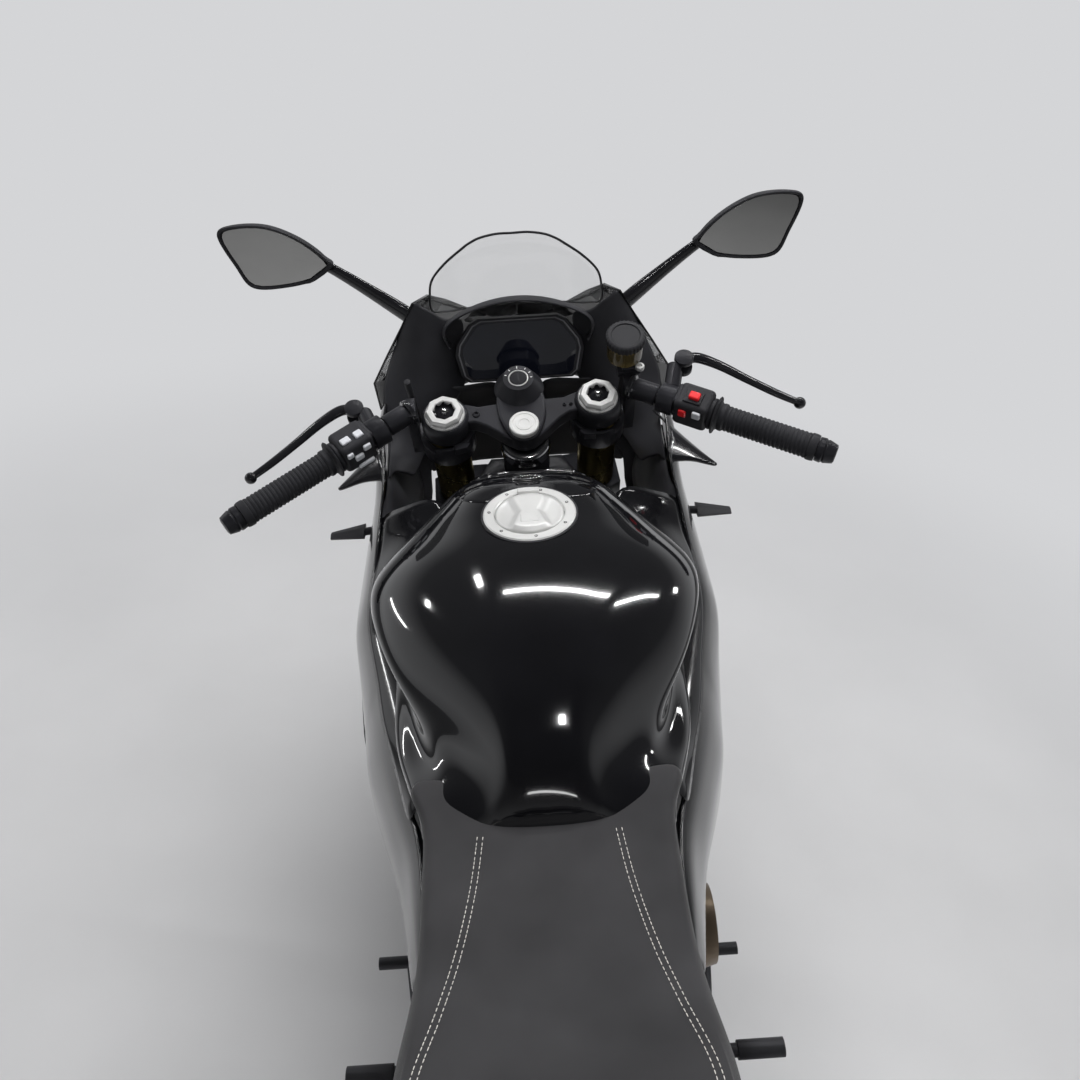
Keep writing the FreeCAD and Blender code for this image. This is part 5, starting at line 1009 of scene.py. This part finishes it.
def grip_profile():
    """Ribbed rubber: fine grooves between two collars."""
    bore, radius = 11.3, 16
    line = [(bore, 124.2), (24, 124.2), (25.5, 125.4), (24.6, 127), (19.4, 128.4), (17.6, 131), (18.4, 133),
            (18.4, 137), (17, 138.4)]
    at = 140
    while at < 248:
        line += [(radius, at), (radius + 0.9, at + 1.0), (radius + 0.9, at + 3.2), (radius, at + 4.2)]
        at += 5.6
    line += [(radius, 250), (radius + 1.8, 252), (radius + 1.8, 258), (radius + 1, 261.6), (bore, 261.8)]
    return line


def grips():
    for side in (-1, 1):
        piece = on_bar("grip_sleeve", grip_profile(), side, GRIP, count=48)
    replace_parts(piece, "grips")
    for side in (-1, 1):
        on_bar("bar_end", [(4, 262.4), (14, 262.4), (16, 264), (16.4, 270), (14.6, 272), (15.6, 274),
                           (14, 280), (12.4, 285.6), (9, 286.8), (2, 286.9)], side, SATIN, closed=False)
        on_bar("bar_collar", [(11.2, 2), (17.5, 2), (18, 3.5), (18, 7), (17, 8), (11.2, 8)], side,
               GLOSS_ALLOY)
        on_bar("bar_sleeve", [(11.2, 10), (14, 10), (14.6, 12), (14.6, 40), (13.4, 42), (11.2, 42)], side,
               SATIN)


def key(name, side, distance, lift, ahead, size, surface, edge):
    """A block that lies along the bar, at a distance from its inner end."""
    return brick(name, along(distance, side, lift, ahead), size, surface, "steering", FORK,
                 flip(BAR_RUN, side), edge)


def switches():
    for side in (-1, 1):
        body = key("switch_body", side, 94, 1, 1, (48, 42, 44), GRIP, 7)
        key("switch_lip", side, 94, 1, 0.8, (50, 40, 1.2), MATTE, 0.4)
        key("switch_step", side, 73, 3, 2, (12, 34, 36), MATTE, 5)
        on_bar("switch_collar", [(11.4, 117.4), (20, 117.4), (21, 119), (21, 121.5), (19.6, 123.4),
                                 (11.4, 123.4)], side, MATTE)
    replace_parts(body, "switchgear")
    for name, distance, lift, ahead, size in (
            ("key_a", 84, 24.4, -4, (12, 12, 5)), ("key_b", 103, 24.2, -3, (14, 11, 5)),
            ("key_c", 83, 13, -20.4, (11, 5, 9)), ("key_d", 97, 4, -21.6, (13, 5, 9)),
            ("key_e", 108, 14, -20.4, (9, 5, 8))):
        key(name, -1, distance, lift, ahead, size, KEY_GREY, 2.2)
    key("paddle", -1, 90, -14, -21.5, (24, 7, 6), KEY_GREY, 2.4)
    key("kill_base", 1, 92, 23.6, -2, (24, 22, 3), MATTE, 1.4)
    key("kill_switch", 1, 93, 26.6, -2, (15, 12, 6.5), KEY_RED, 2.4)
    key("start_key", 1, 84, 8, -20.8, (11, 5, 12), KEY_RED, 2.2)
    key("right_key", 1, 103, 12, -20.8, (12, 5.5, 12), KEY_GREY, 2.4)


PIVOT = Vector((226, 66, 1024))
CLUTCH_DROP = 27
LEVER = [(-4, 0, 0), (18, 8, -1), (48, -6, -5), (84, -32, -11), (118, -54, -18), (148, -71, -24)]
BALL_RADIUS = 8.2
BALL = [(BALL_RADIUS * math.sin(t), -BALL_RADIUS * math.cos(t))
        for t in [math.pi * (k + 0.3) / 14.6 for k in range(15)]]


def levers():
    for side, drop in ((-1, CLUTCH_DROP), (1, 0)):
        route = [flip(PIVOT + Vector(p) - Vector((0, 0, drop)), side) for p in LEVER]
        piece = sweep("lever_blade", route, [7, 8.5, 7.5, 6.5, 6.2, 5.4], GLOSS_ALLOY, "steering", FORK,
                      flat=0.62, count=20)
        fork_lathe("lever_ball", BALL, route[-1], GLOSS_ALLOY, direction=(1, 0, 0), count=28)
    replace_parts(piece, "levers")


RESERVOIR = Vector((146, 78, 0))
CAP_RIBS = 30


def reservoir_cap(radius=25.5, low=1070, high=1081):
    """The cap's rim has upright ribs, 1 mm high."""
    count = CAP_RIBS * 4
    points = []
    for z, inset, ribs in ((low, 0, 1), (high - 2, 0, 1), (high - 0.4, 1.4, 0.4), (high, 2.8, 0),
                           (high, 6, 0), (high - 1.2, 7, 0), (high - 1.2, radius * 0.5, 0)):
        for k in range(count):
            turn = 2 * math.pi * k / count
            out = radius - inset + (ribs if k % 4 in (0, 1) else 0)
            points.append((RESERVOIR.x + out * math.cos(turn), RESERVOIR.y + out * math.sin(turn), z))
    faces = grid_faces(7, count, wrap_columns=True)
    faces += [tuple(range(count)), tuple(range(6 * count, 7 * count))]
    piece = new_piece("reservoir_cap", points, faces, "steering", MATTE, FORK)
    piece.data.set_sharp_from_angle(angle=math.radians(35))


def reservoir():
    cup = fork_lathe("reservoir_cup", [(22, 1041), (23.6, 1042.4), (24, 1050), (24, 1070), (20, 1071)],
                     RESERVOIR, AMBER, count=56)
    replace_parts(cup, "brake_reservoir")
    reservoir_cap()
    fork_lathe("reservoir_foot", [(11, 1031), (11, 1036), (18, 1041)], RESERVOIR, MATTE)
    brick("reservoir_strap", (150, 64, 1034), (20, 14, 5), SATIN, "steering", FORK)
    fork_lathe("strap_bolt", [(6, 0), (6, 4.6), (5, 5.4), (3, 5.4), (2.8, 3)], (164, 58, 1034), FROSTED,
               count=24)


yoke()
ignition()
grips()
switches()
levers()
reservoir()

# Wheels: tyres with their tread, whose grooves reach this far in from the tyre's edge
TREAD_STEPS, TREAD_REACH = 420, 42


def tyre(name, node, body, centre, where, radius, half, grooves):
    """The tyre's carcass with slanted grooves pressed into a fine grid."""
    profile = [(half * 0.62, radius - 96), (half * 0.80, radius - 88), (half * 0.94, radius - 66),
               (half * 1.0, radius - 48), (half * 0.97, radius - 33), (half * 0.84, radius - 18),
               (half * 0.62, radius - 7.5), (half * 0.36, radius - 1.8), (half * 0.12, radius - 0.2),
               (0, radius)]
    side_line = spline([(a, b, 0) for a, b in profile], 5)
    line = [(p.x, p.y) for p in side_line] + [(-p.x, p.y) for p in side_line[-2::-1]]
    line += [(-half * 0.56, radius - 90), (half * 0.56, radius - 90)]
    points = []
    for k in range(TREAD_STEPS):
        turn = 2 * math.pi * k / TREAD_STEPS
        for a, r in line:
            out = r - (tread_depth(a / half, turn, grooves) if r > radius - TREAD_REACH else 0)
            points.append((centre[0] + a, centre[1] + out * math.cos(turn), centre[2] + out * math.sin(turn)))
    faces = grid_faces(TREAD_STEPS, len(line), wrap_rows=True, wrap_columns=True)
    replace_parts(new_piece(name, points, faces, body, TYRE, where), node)


def tread_depth(place, turn, grooves, depth=3.2):
    """Depth of the slanted grooves at a place across the tread (-1..1) and a turn round the wheel."""
    total = 0.0
    for low, high, lean, pitch, shift, wide in grooves:
        for side in (-1, 1):
            across = place * side
            if low < across < high:
                phase = (turn * pitch / (2 * math.pi) + lean * across + shift + (0.5 if side > 0 else 0)) % 1
                off = abs(phase - 0.5)
                fade = min((across - low) / 0.04, (high - across) / 0.04, 1)
                total = max(total, depth * fade * min(max((wide - off) / 0.02, 0), 1))
    return total


tyre("front_tread", "front_tyre", "front_wheel", (0, FORK_OFFSET, AXLE_HEIGHT), FORK, 299.6, 58.6,
     [(0.10, 0.72, 0.55, 14, 0.0, 0.075), (0.34, 0.86, -0.35, 14, 0.35, 0.06)])
tyre("rear_tread", "rear_tyre", "rear_wheel", tuple(REAR_AXLE), BIKE, 314.6, 94.6,
     [(0.08, 0.62, 0.6, 13, 0.0, 0.07), (0.36, 0.84, -0.4, 13, 0.3, 0.055)])

# The solids that have a finer piece above; the others keep their shape and get a finish
REPLACED = {"tank", "tank_cover", "filler_ring", "fuel_cap", "rider_seat", "pillion_seat", "tail_cowl",
            "side_fairings", "windscreen", "display", "inner_panels", "mirrors", "mirror_glasses", "top_yoke",
            "fork_caps", "ignition_lock", "grips", "switchgear", "levers", "brake_reservoir", "front_tyre",
            "rear_tyre"}
# Widths of the softened edges in mm, where they aren't 1
EDGES = {"engine": 3, "frame": 2.5, "swingarm": 3, "belly_pan": 1.5, "nose_cowl": 1, "lamps": 0.8}
for node_name in NODES:
    if node_name not in REPLACED:
        dress(node_name, EDGES.get(node_name, 1.0))

# Camera, light and floor
CAMERA_AT = GROUND + Vector((-0.226, -0.7189, 1.5437))
CAMERA_YAW, CAMERA_PITCH, CAMERA_ROLL = (math.radians(a) for a in (6.62, 36.12, 6.99))
CAMERA_LENS = 31.8


def camera():
    right = Vector((math.cos(CAMERA_YAW), -math.sin(CAMERA_YAW), 0))
    level = Vector((math.sin(CAMERA_YAW), math.cos(CAMERA_YAW), 0))
    forward = level * math.cos(CAMERA_PITCH) - Vector((0, 0, math.sin(CAMERA_PITCH)))
    up = right.cross(forward)
    turned_right = right * math.cos(CAMERA_ROLL) + up * math.sin(CAMERA_ROLL)
    turned_up = up * math.cos(CAMERA_ROLL) - right * math.sin(CAMERA_ROLL)
    data = bpy.data.cameras.new("photo_camera")
    data.lens = CAMERA_LENS
    data.sensor_width = 36
    data.clip_start = 0.02
    made = bpy.data.objects.new("photo_camera", data)
    made.matrix_world = (Matrix.Translation(CAMERA_AT)
                         @ Matrix((turned_right, turned_up, -forward)).transposed().to_4x4())
    bpy.context.scene.collection.objects.link(made)
    bpy.context.scene.camera = made


def lamp(name, start, end, wide, power, aim=(0, 0.1, 0.9), in_reflections=True):
    """A light tube or panel between two points, in metres from the ground below the bike's middle."""
    start, end, aim = (GROUND + Vector(p) for p in (start, end, aim))
    middle, run = (start + end) / 2, (end - start).normalized()
    back = middle - aim
    back = (back - run * back.dot(run)).normalized()
    data = bpy.data.lights.new(name, "AREA")
    data.shape = "RECTANGLE"
    data.size, data.size_y = (end - start).length, wide
    data.energy = power
    made = bpy.data.objects.new(name, data)
    turn = Matrix((run, back.cross(run), back)).transposed()
    made.matrix_world = Matrix.Translation(middle) @ turn.to_4x4()
    made.visible_glossy = in_reflections
    bpy.context.scene.collection.objects.link(made)


# Brightness of the room by height: 0 is straight down, 0.5 the horizon and 1 straight up
ROOM = [(0.0, 0.3), (0.46, 0.42), (0.52, 0.62), (0.64, 0.42), (0.74, 0.08), (1.0, 0.02)]
BACKDROP = (0.66, 0.665, 0.68, 1)


def world():
    """A light room with a dark ceiling, dimmer behind the camera; the camera itself sees a plain backdrop."""
    made = bpy.data.worlds.new("room")
    made.use_nodes = True
    tree = made.node_tree
    split = add(tree, "SeparateXYZ", {"Vector": add(tree, "TexCoord").outputs["Generated"]})
    height = add(tree, "MapRange", {"From Min": -1, "Value": split.outputs["Z"]}).outputs["Result"]
    shade = ramp(tree, height, [(place, (bright, bright * 1.01, bright * 1.03)) for place, bright in ROOM])
    ahead = add(tree, "MapRange", {"From Min": -0.7, "From Max": 0.4, "To Min": 0.3, "To Max": 1,
                                   "Value": split.outputs["Y"]})
    dimmed = add(tree, "VectorMath", {0: shade, "Scale": ahead.outputs["Result"]}, operation="SCALE")
    seen = add(tree, "Mix", {"Factor": add(tree, "LightPath").outputs["Is Camera Ray"],
                             "A": dimmed.outputs["Vector"], "B": BACKDROP}, data_type="RGBA")
    join(tree, tree.nodes["Background"], {"Color": seen.outputs["Result"]})
    bpy.context.scene.world = made


def floor():
    mesh = bpy.data.meshes.new("floor")
    corners = [Vector((a, b, 0)) * FLOOR_HALF for a, b in ((-1, -1), (1, -1), (1, 1), (-1, 1))]
    mesh.from_pydata([GROUND + p for p in corners], [], [(0, 1, 2, 3)])
    mesh.materials.append(FLOOR)
    made = bpy.data.objects.new("floor", mesh)
    bpy.context.scene.collection.objects.link(made)


def far_floor_glow(tree, near=0.9, far=2.6):
    """Away from the bike the camera sees the floor at one pale level; near it the floor keeps the shadows."""
    reach = add(tree, "VectorMath", {0: add(tree, "NewGeometry").outputs["Position"]}, operation="LENGTH")
    share = add(tree, "MapRange", {"From Min": near, "From Max": far, "Value": reach.outputs["Value"]},
                interpolation_type="SMOOTHSTEP")
    seen = add(tree, "Math", {0: share.outputs["Result"], 1: add(tree, "LightPath").outputs["Is Camera Ray"]},
               operation="MULTIPLY")
    glow = add(tree, "Emission", {"Color": BACKDROP})
    mix = add(tree, "MixShader", {"Fac": seen.outputs["Value"], 2: glow.outputs["Emission"],
                                  1: tree.nodes["Principled BSDF"].outputs["BSDF"]})
    join(tree, tree.nodes["Material Output"], {"Surface": mix.outputs["Shader"]})


FLOOR_HALF = 16
FLOOR = material("floor_paint", (0.62, 0.62, 0.63), 0.55, vary=0.05, vary_scale=2)
far_floor_glow(FLOOR.node_tree)
camera()
floor()
world()
lamp("soft_ceiling", (-1.3, 0.7, 3.3), (1.3, 0.7, 3.3), 1.6, 85, in_reflections=False)
lamp("tube_long", (-0.71, 1.52, 2.7), (0.58, 1.32, 2.7), 0.05, 9)
lamp("tube_short", (0.69, 1.16, 2.7), (1.82, 1.33, 2.7), 0.05, 8)
lamp("spot_left", (-1.18, 1.89, 2.7), (-1.04, 1.89, 2.7), 0.18, 2)
lamp("window_left", (-2.5, 1.9, 2.7), (-2.34, 1.78, 2.7), 0.2, 4)
lamp("tube_left", (-2.66, 1.86, 1.37), (-2.97, 1.03, 1.73), 0.05, 4)
lamp("spot_right", (2.18, 1.6, 2.25), (2.3, 1.5, 2.33), 0.16, 2)
lamp("spot_above", (-0.21, -0.34, 2.7), (-0.21, -0.22, 2.7), 0.05, 1)
lamp("tube_behind", (-0.6, -3.0, 2.2), (0.1, -3.0, 2.2), 0.06, 1)
lamp("soft_behind", (-1.2, -2.8, 2.6), (1.6, -2.8, 2.6), 0.9, 30, in_reflections=False)
bpy.context.scene.view_settings.view_transform = "Standard"
